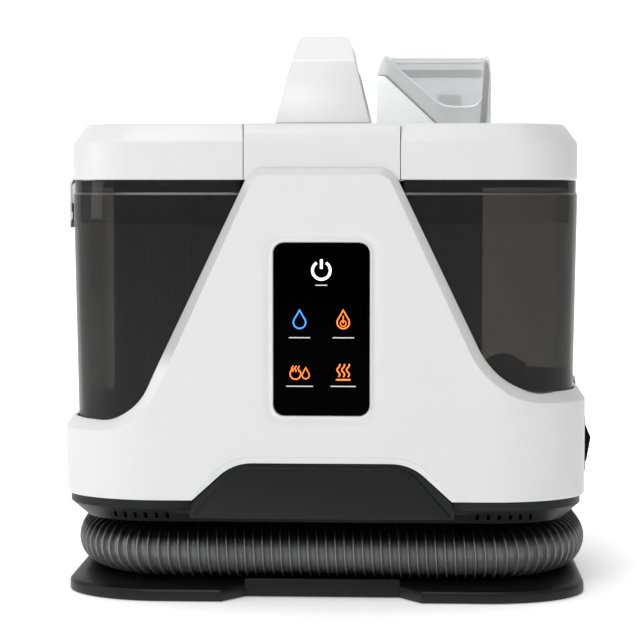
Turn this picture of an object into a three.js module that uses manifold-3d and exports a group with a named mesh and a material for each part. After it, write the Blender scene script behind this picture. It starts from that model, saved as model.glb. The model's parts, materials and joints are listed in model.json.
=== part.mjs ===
// Portable spot cleaner for carpets and upholstery: lift-out tanks either side of a spine, steam boiler,
// suction motor, stretch hose wrapped round the waist and a hand tool docked at the back.
// Millimetres, +Z up, the front faces -Y. The origin is the middle of the footprint, on the floor.
import * as THREE from "three";
import { mergeVertices } from "three/addons/utils/BufferGeometryUtils.js";
import Module from "manifold-3d";

const wasm = await Module();
wasm.setup();
const { Manifold, Mesh } = wasm;

// ---------- driving dimensions ----------
const GAP = 0.3; // clearance between pieces that touch
const WALL = 2.5; // moulded wall
const SEGMENTS = 5; // facets in a corner

const BODY = { half: 171.5, front: -122, rear: 122, cornerX: 65, cornerY: 48, rearRadius: 34 };
const NOTCH = { x: 60, y: 76, radius: 16 }; // rear right corner left open for the hose and the hand tool
const SHELL = { bottom: 64.5, wall: 4, apex: 275.7, rimLeft: 114.3, rimRight: 133.4 };
const ARCH = { x: 51.2, z: 261.9, lean: THREE.MathUtils.degToRad(25.6), bevel: 6, bevelDepth: 3.2 };
const ARCH_RADIUS = { apex: 14.5, left: 39, right: 50 };
const PANEL_CUT = { bottomHalf: 83, topHalf: 56, top: 88.5, bottom: 52.5, radius: 30 };

const PLATE = {
  front: -126.5,
  bottom: 0.4,
  top: 7.6,
  setBack: 18,
  innerHalf: 48.5,
  outerHalf: 63.5,
  lipTop: 11.8,
  lipWall: 3,
};
const FOOT = { radius: 12, x: 128, yFront: -86, yRear: 88, pocket: 2.4 };
const WAIST = { half: 128, depth: 60, bottom: 8.8, radius: 40 };
const HOUSING = { under: 46, band: 58.8, top: 64.2, inset: 12 };

const TANK_DECK = { bottom: 92.5, top: 95.5 };
const SEAM = 49.5;
const SPINE_HALF = 47.5;
const TANK = {
  bottom: 98,
  top: 268,
  rear: 46,
  front: -117.2,
  outer: 164.1,
  wall: 2.2,
  draft: 2.5,
  corner: 42,
};
const LID = { bottom: 268.3, shoulder: 291.7, top: 304, outer: 163.8, front: -117.6, rear: 48, bevel: 6 };
const REAR = {
  front: 50,
  left: -158,
  thinRight: 108,
  thinRear: 71.5,
  thickRight: 55.5,
  rear: 117.4,
  radius: 30,
};

const HANDLE = { baseHalf: 30, topHalf: 17.5, bottom: 304.3, top: 361, front: -111, rear: 58 };
const GRIP = { front: -76, rear: 26, bottom: 308, top: 339, radius: 12 };

const DISPLAY = { half: 30.2, bottom: 119.5, top: 228.5, radius: 6.5, thick: 2.6, proud: 0.5 };

const HOSE = { radius: 17.6, sides: 10, steps: 64, z: 25.6, x: 158.2, y: 81, corner: 62 };
const TOOL = { x: 85, y: 100, bottom: 124, tube: 15, neckBottom: 276, headTop: 359.5 };

// ---------- solids ----------
function solidOf(geometry) {
  const bare = new THREE.BufferGeometry().setAttribute("position", geometry.getAttribute("position"));
  bare.setIndex(geometry.index);
  const merged = mergeVertices(bare, 1e-4);
  return new Manifold(
    new Mesh({
      numProp: 3,
      vertProperties: new Float32Array(merged.attributes.position.array),
      triVerts: new Uint32Array(merged.index.array),
    }),
  );
}

const join = (...solids) => Manifold.union(solids);
const cut = (solid, ...tools) => solid.subtract(join(...tools));
const meet = (a, b) => a.intersect(b);

function box(x0, x1, y0, y1, z0, z1) {
  const geometry = new THREE.BoxGeometry(x1 - x0, y1 - y0, z1 - z0);
  return solidOf(geometry.translate((x0 + x1) / 2, (y0 + y1) / 2, (z0 + z1) / 2));
}

// Cylinder (or cone) standing on z0 at x, y.
function post(x, y, z0, z1, radius, topRadius = radius, sides = 14) {
  const geometry = new THREE.CylinderGeometry(topRadius, radius, z1 - z0, sides).rotateX(Math.PI / 2);
  return solidOf(geometry.translate(x, y, (z0 + z1) / 2));
}

// Cylinder lying along the x axis or the y axis.
function bar(axis, from, to, a, z, radius, sides = 16) {
  const geometry = new THREE.CylinderGeometry(radius, radius, to - from, sides);
  const middle = (from + to) / 2;
  return axis === "x"
    ? solidOf(geometry.rotateZ(Math.PI / 2).translate(middle, a, z))
    : solidOf(geometry.translate(a, middle, z));
}

// Closed outline through points, each corner rounded by the radius given with it: [x, y, radius].
function outline(corners, facets = SEGMENTS) {
  const at = (i) => new THREE.Vector2(...corners[(i + corners.length) % corners.length]);
  const points = [];
  corners.forEach(([x, y, radius = 0], i) => {
    const corner = new THREE.Vector2(x, y);
    if (radius === 0) {
      points.push(corner);
      return;
    }
    const before = at(i - 1).sub(corner).normalize();
    const after = at(i + 1).sub(corner).normalize();
    const half = before.angleTo(after) / 2;
    const middle = before.clone().add(after).normalize();
    const centre = corner.clone().addScaledVector(middle, radius / Math.sin(half));
    const sweep = (Math.PI / 2 - half) * Math.sign(before.cross(after));
    for (let k = 0; k <= facets; k += 1) {
      const turn = sweep * (1 - (2 * k) / facets);
      const arm = middle.clone().multiplyScalar(-radius);
      points.push(arm.rotateAround(new THREE.Vector2(), turn).add(centre));
    }
  });
  return new THREE.Shape(points);
}

const rectangle = (x0, x1, y0, y1, r) =>
  outline([
    [x0, y0, r],
    [x1, y0, r],
    [x1, y1, r],
    [x0, y1, r],
  ]);

// Outline drawn in plan, raised from z0 to z1.
function prism(shape, z0, z1, curveSegments = SEGMENTS) {
  const geometry = new THREE.ExtrudeGeometry(shape, { depth: z1 - z0, bevelEnabled: false, curveSegments });
  return solidOf(geometry.translate(0, 0, z0));
}

// The same with its upper edge bevelled: the wall is straight up to the shoulder.
function capped(shape, z0, shoulder, z1, bevel, bevelSegments = 2, curveSegments = SEGMENTS) {
  const geometry = new THREE.ExtrudeGeometry(shape, {
    depth: 1,
    bevelThickness: z1 - shoulder,
    bevelSize: bevel,
    bevelOffset: -bevel,
    bevelSegments,
    curveSegments,
  });
  const above = box(-400, 400, -400, 400, shoulder - 0.5, z1 + 1);
  return join(
    meet(solidOf(geometry.translate(0, 0, shoulder - 1)), above),
    prism(shape, z0, shoulder - 0.4, curveSegments),
  );
}

// Outline drawn in front view (x, z), running from y0 back to y1.
function fronted(shape, y0, y1, curveSegments = SEGMENTS) {
  const geometry = new THREE.ExtrudeGeometry(shape, { depth: y1 - y0, bevelEnabled: false, curveSegments });
  return solidOf(geometry.rotateX(Math.PI / 2).translate(0, y1, 0));
}

// The same with its front edge bevelled.
function frontedBevel(shape, y0, y1, depth, size, curveSegments = SEGMENTS) {
  const geometry = new THREE.ExtrudeGeometry(shape, {
    depth: y1 - y0,
    bevelThickness: depth,
    bevelSize: size,
    bevelOffset: -size,
    bevelSegments: 1,
    curveSegments,
  });
  const raised = solidOf(geometry.rotateX(Math.PI / 2).translate(0, y1 + depth, 0));
  return meet(raised, box(-400, 400, y0 - 1, y1, -400, 700));
}

// Outline drawn in side view (y, z), running from x0 to x1.
function sided(shape, x0, x1, curveSegments = SEGMENTS) {
  const geometry = new THREE.ExtrudeGeometry(shape, { depth: x1 - x0, bevelEnabled: false, curveSegments });
  return solidOf(geometry.rotateX(Math.PI / 2).rotateZ(Math.PI / 2).translate(x0, 0, 0));
}

// Solid of revolution about the vertical through x, y. Profile points are [radius, z].
function turned(profile, x, y, sides = 16) {
  const points = profile.map(([r, z]) => new THREE.Vector2(r, z));
  const geometry = new THREE.LatheGeometry(points, sides).rotateX(Math.PI / 2);
  return solidOf(geometry.translate(x, y, 0));
}

// Ring or sleeve: the profile closes on itself clear of the axis.
const sleeve = (profile, x, y, sides) => turned([...profile, profile[0]], x, y, sides);

// Tube along a smooth curve through the points.
function tube(points, radius, sides, steps, tension = 0.5) {
  const knots = points.map((p) => new THREE.Vector3(...p));
  const path = new THREE.CatmullRomCurve3(knots, false, "catmullrom", tension);
  const circle = new THREE.Shape().absarc(0, 0, radius, 0, 2 * Math.PI);
  const geometry = new THREE.ExtrudeGeometry(circle, {
    extrudePath: path,
    steps,
    curveSegments: sides / 2,
    bevelEnabled: false,
  });
  return solidOf(geometry);
}

// ---------- assembly ----------
const group = new THREE.Group();
group.name = "carpet_cleaner";

const FINISH = {
  white: { color: 0xe4e4e4, roughness: 0.35, metalness: 0 },
  charcoal: { color: 0x26272a, roughness: 0.45, metalness: 0 },
  black: { color: 0x121315, roughness: 0.5, metalness: 0 },
  smoke: { color: 0x4a4b4e, roughness: 0.08, metalness: 0, transparent: true, opacity: 0.6 },
  clear: { color: 0xc9ccd0, roughness: 0.1, metalness: 0, transparent: true, opacity: 0.6 },
  glass: { color: 0x050506, roughness: 0.06, metalness: 0 },
  grey: { color: 0x6f7174, roughness: 0.5, metalness: 0 },
  rubber: { color: 0x1b1b1c, roughness: 0.85, metalness: 0 },
  steel: { color: 0xb8bbbe, roughness: 0.3, metalness: 1 },
  alloy: { color: 0xa6a9ad, roughness: 0.4, metalness: 1 },
  brass: { color: 0xb08d4a, roughness: 0.35, metalness: 1 },
  board: { color: 0x1f5a38, roughness: 0.55, metalness: 0 },
};

function add(name, solid, finish) {
  const made = solid.getMesh();
  const geometry = new THREE.BufferGeometry();
  geometry.setAttribute("position", new THREE.BufferAttribute(made.vertProperties, 3));
  geometry.setIndex(new THREE.BufferAttribute(made.triVerts, 1));
  geometry.computeVertexNormals();
  const mesh = new THREE.Mesh(geometry, new THREE.MeshStandardMaterial(FINISH[finish]));
  mesh.name = name;
  group.add(mesh);
}

// ---------- footprints ----------
// Plan of the body, moved in by inset: soft front corners, and the open notch at the rear right.
function footprint(inset) {
  const x = BODY.half - inset;
  const front = BODY.front + inset;
  const rear = BODY.rear - inset;
  const rx = BODY.cornerX - inset;
  const ry = BODY.cornerY - inset;
  const r = BODY.rearRadius - inset;
  const notchX = NOTCH.x - inset;
  const notchY = NOTCH.y - inset;
  const shape = new THREE.Shape();
  shape.moveTo(-x + rx, front);
  shape.lineTo(x - rx, front);
  shape.absellipse(x - rx, front + ry, rx, ry, -Math.PI / 2, 0, false);
  shape.lineTo(x, notchY - r);
  shape.absarc(x - r, notchY - r, r, 0, Math.PI / 2, false);
  shape.lineTo(notchX + NOTCH.radius + inset, notchY);
  const hollow = NOTCH.radius + inset;
  shape.absarc(notchX + hollow, notchY + hollow, hollow, -Math.PI / 2, -Math.PI, true);
  shape.lineTo(notchX, rear - NOTCH.radius + inset / 2);
  const horn = NOTCH.radius - inset / 2;
  shape.absarc(notchX - horn, rear - horn, horn, 0, Math.PI / 2, false);
  shape.lineTo(-x + r, rear);
  shape.absarc(-x + r, rear - r, r, Math.PI / 2, Math.PI, false);
  shape.lineTo(-x, front + ry);
  shape.absellipse(-x + rx, front + ry, rx, ry, Math.PI, 1.5 * Math.PI, false);
  return shape;
}

// Plan of the base plate: two feet forward, the middle set back.
function platePlan() {
  const half = BODY.half;
  const { front } = PLATE;
  const inner = front + PLATE.setBack;
  const shape = new THREE.Shape();
  shape.moveTo(-PLATE.outerHalf, front);
  shape.lineTo(-PLATE.innerHalf, inner);
  shape.lineTo(PLATE.innerHalf, inner);
  shape.lineTo(PLATE.outerHalf, front);
  shape.lineTo(half - BODY.cornerX, front);
  const [rx, ry] = [BODY.cornerX, BODY.cornerY];
  shape.absellipse(half - rx, front + ry, rx, ry, -Math.PI / 2, 0, false);
  shape.absarc(half - 40, BODY.rear - 42, 40, 0, Math.PI / 2, false);
  shape.absarc(-half + 40, BODY.rear - 42, 40, Math.PI / 2, Math.PI, false);
  shape.absellipse(-half + rx, front + ry, rx, ry, Math.PI, 1.5 * Math.PI, false);
  return shape;
}

const archX = (z) => ARCH.x + (ARCH.z - z) * Math.tan(ARCH.lean);

// Front view of the white shell: collar rims at two heights and the leaning legs that meet at the apex.
function archOutline(bottom) {
  return outline([
    [-200, bottom],
    [200, bottom],
    [200, SHELL.rimRight],
    [archX(SHELL.rimRight), SHELL.rimRight, ARCH_RADIUS.right],
    [archX(SHELL.apex), SHELL.apex, ARCH_RADIUS.apex],
    [-archX(SHELL.apex), SHELL.apex, ARCH_RADIUS.apex],
    [-archX(SHELL.rimLeft), SHELL.rimLeft, ARCH_RADIUS.left],
    [-200, SHELL.rimLeft],
  ]);
}

// Trapezoid in the foot of the arch, grown all round; its sides drop straight below the knee.
function panelOutline(grow, top, bottom) {
  const slope = (PANEL_CUT.bottomHalf - PANEL_CUT.topHalf) / (PANEL_CUT.top - SHELL.bottom);
  const topHalf = PANEL_CUT.topHalf + grow * 0.6;
  const reach = Math.min(PANEL_CUT.bottomHalf + grow, topHalf + (top - bottom) * slope);
  const knee = top - (reach - topHalf) / slope;
  const straight = knee > bottom + 1;
  return outline([
    [-reach, bottom],
    [reach, bottom],
    ...(straight ? [[reach, knee]] : []),
    [topHalf, top, PANEL_CUT.radius],
    [-topHalf, top, PANEL_CUT.radius],
    ...(straight ? [[-reach, knee]] : []),
  ]);
}

// ---------- base ----------
const footAt = [
  ["front_left", -FOOT.x, FOOT.yFront],
  ["front_right", FOOT.x, FOOT.yFront],
  ["rear_left", -FOOT.x, FOOT.yRear],
  ["rear_right", FOOT.x, FOOT.yRear],
];

const SCREW = { x: 112, y: 36, bottom: 2.4, head: 5, top: 18, headRadius: 4, shank: 1.8 };
const screwAt = [
  ["front_left", -SCREW.x, -SCREW.y],
  ["front_right", SCREW.x, -SCREW.y],
  ["rear_left", -SCREW.x, SCREW.y],
  ["rear_right", SCREW.x, SCREW.y],
];

function basePlate() {
  const plan = platePlan();
  const lipFront = PLATE.front + PLATE.setBack;
  const lipRear = lipFront + PLATE.lipWall;
  const lip = box(-PLATE.innerHalf, PLATE.innerHalf, lipFront, lipRear, PLATE.top - 1, PLATE.lipTop);
  const slab = capped(plan, PLATE.bottom, PLATE.top - 2, PLATE.top, 1.2, 1);
  const pockets = footAt.map(([, x, y]) => post(x, y, -1, FOOT.pocket + GAP, FOOT.radius + GAP));
  const screwHoles = screwAt.flatMap(([, x, y]) => [
    post(x, y, -1, SCREW.head + GAP, SCREW.headRadius + GAP),
    post(x, y, 0, PLATE.top + 1, SCREW.shank + GAP, SCREW.shank + GAP, 12),
  ]);
  return cut(join(slab, lip), ...pockets, ...screwHoles);
}
add("base_plate", basePlate(), "black");

for (const [name, x, y] of footAt) {
  const profile = [
    [0, 0],
    [FOOT.radius - 1, 0],
    [FOOT.radius, 1],
    [FOOT.radius, FOOT.pocket],
    [0, FOOT.pocket],
  ];
  const pad = turned(profile, x, y);
  add("foot_" + name, pad, "rubber");
}

for (const [name, x, y] of screwAt) {
  const head = post(x, y, SCREW.bottom, SCREW.head, SCREW.headRadius, SCREW.headRadius, 16);
  const shank = post(x, y, SCREW.head - 1, SCREW.top, SCREW.shank, SCREW.shank, 12);
  const driver = box(x - 2.4, x + 2.4, y - 0.5, y + 0.5, 0, SCREW.bottom + 1);
  add("screw_" + name, cut(join(head, shank), driver), "steel");
}

// ---------- lower housing: waist column under a tub whose underside is chamfered ----------
const ELBOW = { x: -2, y: 81, end: -20, radius: 15.6, shank: 12, bore: 9.5 };

function lowerHousing() {
  const flare = new THREE.ExtrudeGeometry(footprint(0.5), {
    depth: 1,
    bevelThickness: HOUSING.band - HOUSING.under,
    bevelSize: HOUSING.inset,
    bevelOffset: -HOUSING.inset,
    bevelSegments: 1,
    curveSegments: SEGMENTS,
  }).translate(0, 0, HOUSING.band);
  const chamfered = meet(solidOf(flare), box(-400, 400, -400, 400, HOUSING.under - 1, HOUSING.band + 0.5));
  const band = prism(footprint(0.5), HOUSING.band + 0.4, HOUSING.top);
  const column = prism(
    rectangle(-WAIST.half, WAIST.half, -WAIST.depth, WAIST.depth, WAIST.radius),
    WAIST.bottom,
    HOUSING.under + 3,
  );
  const [wellX, wellY] = [WAIST.half - WALL, WAIST.depth - WALL];
  const well = prism(
    rectangle(-wellX, wellX, -wellY, wellY, WAIST.radius - WALL),
    WAIST.bottom + WALL,
    HOUSING.top + 1,
  );
  const hollow = prism(footprint(HOUSING.inset + WALL), HOUSING.under + WALL + 0.5, HOUSING.top + 1);
  const upper = prism(footprint(SHELL.wall), HOUSING.band + 1.5, HOUSING.top + 1);
  const seatOutline = panelOutline(1, PANEL_CUT.top, PANEL_CUT.bottom - 1);
  const seat = fronted(seatOutline, BODY.front - 1, BODY.front + 3.4);
  const slots = [];
  for (let i = 0; i < 6; i += 1) {
    const x = 98 + i * 7;
    slots.push(box(x, x + 2.2, BODY.front - 1, -60, HOUSING.under + 3.6, HOUSING.under + 9));
    slots.push(box(-x - 2.2, -x, BODY.front - 1, -60, HOUSING.under + 3.6, HOUSING.under + 9));
  }
  const hosePort = bar("y", WAIST.depth - 8, WAIST.depth + 8, ELBOW.x, HOSE.z, ELBOW.shank + GAP);
  const tub = cut(join(chamfered, band, column), well, hollow, upper, seat, hosePort, ...slots);
  const bosses = screwAt.map(([, x, y]) => post(x, y, WAIST.bottom, SCREW.top + 2, 5, 5, 16));
  const hole = SCREW.shank + GAP;
  const holes = screwAt.map(([, x, y]) => post(x, y, WAIST.bottom - 1, SCREW.top + 1, hole, hole, 12));
  return cut(join(tub, ...bosses), ...holes);
}
add("lower_housing", lowerHousing(), "charcoal");

// Elbow on the back of the waist that the hose leaves from.
function hoseElbow() {
  const { x, y, end, radius, shank, bore } = ELBOW;
  const stub = bar("y", WAIST.depth - 6, WAIST.depth + 4, x, HOSE.z, shank);
  const flange = bar("y", WAIST.depth + GAP, WAIST.depth + 3, x, HOSE.z, radius + 0.8);
  const neck = bar("y", WAIST.depth + 2, y, x, HOSE.z, radius);
  const mouth = bar("x", end, x + radius - 2, y, HOSE.z, radius);
  return cut(
    join(stub, flange, neck, mouth),
    bar("y", WAIST.depth - 8, y + 1, x, HOSE.z, bore),
    bar("x", end - 1, x + bore, y, HOSE.z, bore),
  );
}
add("hose_elbow", hoseElbow(), "charcoal");

const servicePanel = cut(
  fronted(panelOutline(-1, PANEL_CUT.top - 1, PANEL_CUT.bottom), BODY.front + 0.4, BODY.front + 3),
  fronted(panelOutline(-10, PANEL_CUT.top - 9, PANEL_CUT.bottom + 8), BODY.front + 1.8, BODY.front + 4),
);
add("service_panel", servicePanel, "charcoal");

// ---------- white shell ----------
function shellRing(bottom, top) {
  return cut(prism(footprint(0), bottom, top, 9), prism(footprint(SHELL.wall), bottom - 1, top + 1, 9));
}

const SWITCH = { y: -34, z: 92.5, halfY: 10, halfZ: 14, axis: 169 };

function frontShell() {
  const ring = shellRing(SHELL.bottom, SHELL.apex + 1);
  const arch = archOutline(SHELL.bottom - 20);
  const mask = frontedBevel(arch, BODY.front, -GAP / 2, ARCH.bevelDepth, ARCH.bevel, 5);
  const panel = panelOutline(0, PANEL_CUT.top, SHELL.bottom - 10);
  const trapezoid = fronted(panel, BODY.front - 1, BODY.front + 6);
  const window = fronted(
    rectangle(-DISPLAY.half + 3, DISPLAY.half - 3, DISPLAY.bottom + 3, DISPLAY.top - 3, DISPLAY.radius - 3),
    BODY.front - 1,
    BODY.front + 6,
  );
  const seatHalf = DISPLAY.half + GAP;
  const seat = fronted(
    rectangle(-seatHalf, seatHalf, DISPLAY.bottom - GAP, DISPLAY.top + GAP, DISPLAY.radius + GAP),
    BODY.front - 1,
    BODY.front + DISPLAY.thick,
  );
  const switchHole = box(
    BODY.half - SHELL.wall - 1,
    BODY.half + 1,
    SWITCH.y - SWITCH.halfY - 2.3,
    SWITCH.y + SWITCH.halfY + 2.3,
    SWITCH.z - SWITCH.halfZ - 2.3,
    SWITCH.z + SWITCH.halfZ + 2.3,
  );
  return cut(meet(ring, mask), trapezoid, window, seat, switchHole);
}
add("front_shell", frontShell(), "white");

const INLET = { x: -112, z: 82, radius: 8 };

function rearShell() {
  const ring = shellRing(SHELL.bottom, SHELL.rimRight + 5);
  const mask = fronted(
    outline([
      [-200, SHELL.bottom - 20],
      [200, SHELL.bottom - 20],
      [200, SHELL.rimRight],
      [24, SHELL.rimRight, 16],
      [4, SHELL.rimLeft, 16],
      [-200, SHELL.rimLeft],
    ]),
    GAP / 2,
    BODY.rear + 5,
  );
  const cordHole = bar("y", BODY.rear - 12, BODY.rear + 5, INLET.x, INLET.z, INLET.radius);
  return cut(meet(ring, mask), cordHole);
}
add("rear_shell", rearShell(), "white");

// ---------- tank deck and spine ----------
const CLEAN = { x: 118, y: -40 };
const DIRTY = { x: -108, y: -36 };

function tankDeck() {
  const [under, over] = [TANK_DECK.bottom - 1, TANK_DECK.top + 1];
  const plate = prism(footprint(SHELL.wall + GAP), TANK_DECK.bottom, TANK_DECK.top);
  const cableHoles = [
    [-100, -68],
    [-12, 36],
  ].map(([y0, y1]) => box(-SPINE_HALF + 8, SPINE_HALF - 8, y0, y1, under, over));
  const switchRoom = box(BODY.half - 9, BODY.half, SWITCH.y - 16, SWITCH.y + 16, under, over);
  const valveSeat = join(
    post(CLEAN.x, CLEAN.y, TANK_DECK.bottom - 12, TANK_DECK.top - 1, 11),
    post(CLEAN.x, CLEAN.y, TANK_DECK.bottom - 18, TANK_DECK.bottom - 10, 5),
  );
  const legs = [
    [-150, -50],
    [150, -50],
    [-150, 50],
    [140, 40],
    [-70, 96],
    [20, 96],
  ].map(([x, y]) => post(x, y, HOUSING.under + WALL + 0.8, TANK_DECK.top - 1, 4, 4, 12));
  const solid = join(plate, valveSeat, ...legs);
  return cut(
    solid,
    ...cableHoles,
    switchRoom,
    post(CLEAN.x, CLEAN.y, TANK_DECK.bottom - 8, TANK_DECK.top + 1, 8.5),
    post(CLEAN.x, CLEAN.y, TANK_DECK.bottom - 20, TANK_DECK.top, 3),
    post(DIRTY.x, DIRTY.y, TANK_DECK.bottom - 20, TANK_DECK.top + 1, 13),
  );
}
add("tank_deck", tankDeck(), "charcoal");

function spineHousing() {
  const z0 = TANK_DECK.top + GAP;
  const z1 = LID.bottom - GAP;
  const front = BODY.front + SHELL.wall + GAP + 1;
  const outer = prism(rectangle(-SPINE_HALF, SPINE_HALF, front, REAR.front - GAP, 4), z0, z1, 3);
  const innerHalf = SPINE_HALF - WALL;
  const inner = prism(
    rectangle(-innerHalf, innerHalf, BODY.front + SHELL.wall + 4, REAR.front - GAP - WALL, 2),
    z0 - 1,
    z1 + 1,
    3,
  );
  const cable = box(-20, 20, BODY.front, BODY.front + 12, DISPLAY.bottom, DISPLAY.top);
  return cut(outer, inner, cable);
}
add("spine_housing", spineHousing(), "charcoal");

function rearPlan(inset) {
  const { front, left, thinRight, thinRear, thickRight, rear, radius } = REAR;
  return outline([
    [left + inset, front + inset, 8 - inset],
    [thinRight - inset, front + inset, 8 - inset],
    [thinRight - inset, thinRear - inset, 8 - inset],
    [thickRight - inset, thinRear - inset, 8 + inset],
    [thickRight - inset, rear - inset, 14 - inset],
    [left + inset, rear - inset, radius - inset],
  ]);
}

function rearHousing() {
  const z0 = TANK_DECK.top + GAP;
  const z1 = LID.bottom - GAP;
  const outer = prism(rearPlan(0), z0, z1, 4);
  const inner = prism(rearPlan(WALL), z0 - 1, z1 + 1, 4);
  const vents = [];
  for (let i = 0; i < 9; i += 1) {
    const z = 150 + i * 8;
    vents.push(box(-110, -20, REAR.rear - 5, REAR.rear + 5, z, z + 3));
  }
  return cut(outer, inner, ...vents);
}
add("rear_housing", rearHousing(), "charcoal");

// ---------- top deck and carry handle ----------
function lidPlan(x0, x1, y0, y1) {
  return outline([
    [x0, y0, x0 < -100 ? TANK.corner : 0],
    [x1, y0, x1 > 100 ? TANK.corner : 0],
    [x1, y1, x1 > 100 ? 10 : 0],
    [x0, y1, x0 < -100 ? 10 : 0],
  ]);
}

function topDeck() {
  const bridgePlan = lidPlan(-SEAM - 60, SEAM + 60, LID.front, 100);
  const bridge = capped(bridgePlan, LID.bottom, LID.shoulder, LID.top, LID.bevel, 3);
  const middle = meet(bridge, box(-SEAM + 0.2, SEAM - 0.2, -200, REAR.front + 20, 200, 320));
  const back = capped(rearPlan(-1), LID.bottom, LID.shoulder, LID.top, LID.bevel, 3);
  const trimmed = meet(back, box(-200, 200, LID.rear + 0.6, 200, 200, 320));
  const hollow = join(
    box(-SEAM + 3, SEAM - 3, LID.front + 9, REAR.front + 12, LID.bottom - 1, LID.top - 12),
    box(REAR.left + 12, REAR.thickRight - 6, REAR.front + 4, REAR.rear - 8, LID.bottom - 1, LID.top - 12),
  );
  return cut(join(middle, trimmed), hollow);
}
add("top_deck", topDeck(), "white");

function handleOutline() {
  const { front, rear, bottom, top } = HANDLE;
  return outline([
    [front, bottom],
    [rear, bottom],
    [rear - 16, top, 26],
    [front + 20, top, 26],
  ]);
}

function carryHandle() {
  const { baseHalf, topHalf, bottom, top, front, rear } = HANDLE;
  const side = sided(handleOutline(), -60, 60, 8);
  const face = outline([
    [-baseHalf, bottom - 0.001],
    [baseHalf, bottom - 0.001],
    [(baseHalf + 3 * topHalf) / 4 - 1, 346.5],
    [topHalf, top, 4],
    [-topHalf, top, 4],
    [(-baseHalf - 3 * topHalf) / 4 + 1, 346.5],
  ]);
  const body = meet(side, fronted(face, front - 5, rear + 5, 4));
  const gap = sided(rectangle(GRIP.front, GRIP.rear, GRIP.bottom, GRIP.top, GRIP.radius), -60, 60);
  const insert = box(-12.5, 12.5, GRIP.front + 14, GRIP.rear - 14, GRIP.top - 1, GRIP.top + 6.3);
  return cut(body, gap, insert);
}
add("carry_handle", carryHandle(), "white");

const gripInsert = box(-12.2, 12.2, GRIP.front + 14.3, GRIP.rear - 14.3, GRIP.top - 0.8, GRIP.top + 6);
add("grip_insert", gripInsert, "rubber");

// ---------- control panel ----------
const panelGlass = fronted(
  rectangle(-DISPLAY.half, DISPLAY.half, DISPLAY.bottom, DISPLAY.top, DISPLAY.radius),
  BODY.front - DISPLAY.proud,
  BODY.front + DISPLAY.thick - GAP,
);
add("panel_glass", panelGlass, "glass");

function displayBoard() {
  const y = BODY.front + DISPLAY.thick;
  const pcb = box(-DISPLAY.half + 4, DISPLAY.half - 4, y + 1, y + 2.2, DISPLAY.bottom + 4, DISPLAY.top - 4);
  const lamps = [
    [0, 212],
    [-13, 180],
    [13, 180],
    [-13, 147],
    [13, 147],
  ].map(([x, z]) => box(x - 3, x + 3, y + 0.2, y + 1.2, z - 3, z + 3));
  return join(pcb, ...lamps);
}
add("display_board", displayBoard(), "board");

// ---------- machinery ----------
const MOTOR = { x: -66, y: 0, radius: 50, bottom: 12, deck: 60 };

const motorMount = cut(
  sleeve(
    [
      [30, MOTOR.bottom],
      [MOTOR.radius, MOTOR.bottom],
      [MOTOR.radius, 15],
      [38, 18],
      [30, 18],
    ],
    MOTOR.x,
    MOTOR.y,
  ),
  post(MOTOR.x + MOTOR.radius, MOTOR.y, 0, 30, 5),
);
add("motor_mount", motorMount, "rubber");

const motorCan = turned(
  [
    [0, 18.3],
    [36, 18.3],
    [36, 46],
    [47, 50],
    [47, 56.4],
    [43, 56.4],
    [43, 52],
    [4.4, 52],
    [4.4, 50],
    [0, 50],
  ],
  MOTOR.x,
  MOTOR.y,
);
add("suction_motor", motorCan, "steel");

// Centrifugal fan: a disc, curved blades and the shaft that turns it.
function impeller() {
  const disc = turned([[0, 53.4], [40, 53.4], [40, 55], [10, 56.2], [7, 64], [0, 64]], MOTOR.x, MOTOR.y);
  const blades = [];
  for (let i = 0; i < 9; i += 1) {
    const blade = solidOf(new THREE.BoxGeometry(28, 1.6, 9).rotateZ(0.5).translate(24, 0, 59));
    blades.push(blade.rotate([0, 0, (360 / 9) * i]).translate([MOTOR.x, MOTOR.y, 0]));
  }
  const shaft = post(MOTOR.x, MOTOR.y, 50.6, 54, 3, 3, 12);
  return join(disc, shaft, ...blades);
}
add("fan_impeller", impeller(), "alloy");

const fanCover = cut(
  sleeve(
    [
      [47, 56.8],
      [50, 56.8],
      [50, 70],
      [44, 74],
      [18, 76],
      [18, 78],
      [14.5, 78],
      [14.5, 73],
      [42, 71],
      [47, 67],
    ],
    MOTOR.x,
    MOTOR.y,
  ),
  bar("y", MOTOR.y + 40, MOTOR.y + 60, MOTOR.x, 62, 4),
);
add("fan_cover", fanCover, "charcoal");

// Duct from the port under the recovery tank to the eye of the fan.
function suctionDuct() {
  const reach = Math.hypot(MOTOR.x - DIRTY.x, MOTOR.y - DIRTY.y);
  const heading = THREE.MathUtils.radToDeg(Math.atan2(MOTOR.y - DIRTY.y, MOTOR.x - DIRTY.x));
  const run = (radius, z0, z1) => {
    const beam = box(0, reach, -radius, radius, z0, z1).rotate([0, 0, heading]);
    const placed = beam.translate([DIRTY.x, DIRTY.y, 0]);
    return join(placed, post(DIRTY.x, DIRTY.y, z0, z1, radius), post(MOTOR.x, MOTOR.y, z0, z1, radius));
  };
  return cut(
    run(16, 78.3, 92.2),
    run(13.5, 80.8, 89.7),
    post(DIRTY.x, DIRTY.y, 85, 93, 12.5),
    post(MOTOR.x, MOTOR.y, 78, 82, 12.5),
  );
}
add("suction_duct", suctionDuct(), "grey");

function waterPump() {
  const body = box(26, 70, -24, 24, 14, 44);
  const head = bar("x", 70, 92, 0, 29, 15);
  const stub = post(84, 0, 40, 56, 4, 4, 12);
  return join(body, head, stub);
}
add("water_pump", waterPump(), "black");

function boiler() {
  const block = box(-30, 30, -60, -20, 120, 176);
  const lid = box(-34, 34, -64, -16, 176, 181);
  const spouts = join(post(-16, -40, 180, 196, 4, 4, 12), post(16, -40, 180, 196, 4, 4, 12));
  const base = box(-20, 20, -50, -30, TANK_DECK.top + GAP, 121);
  return join(block, lid, spouts, base);
}
add("steam_boiler", boiler(), "alloy");

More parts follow.
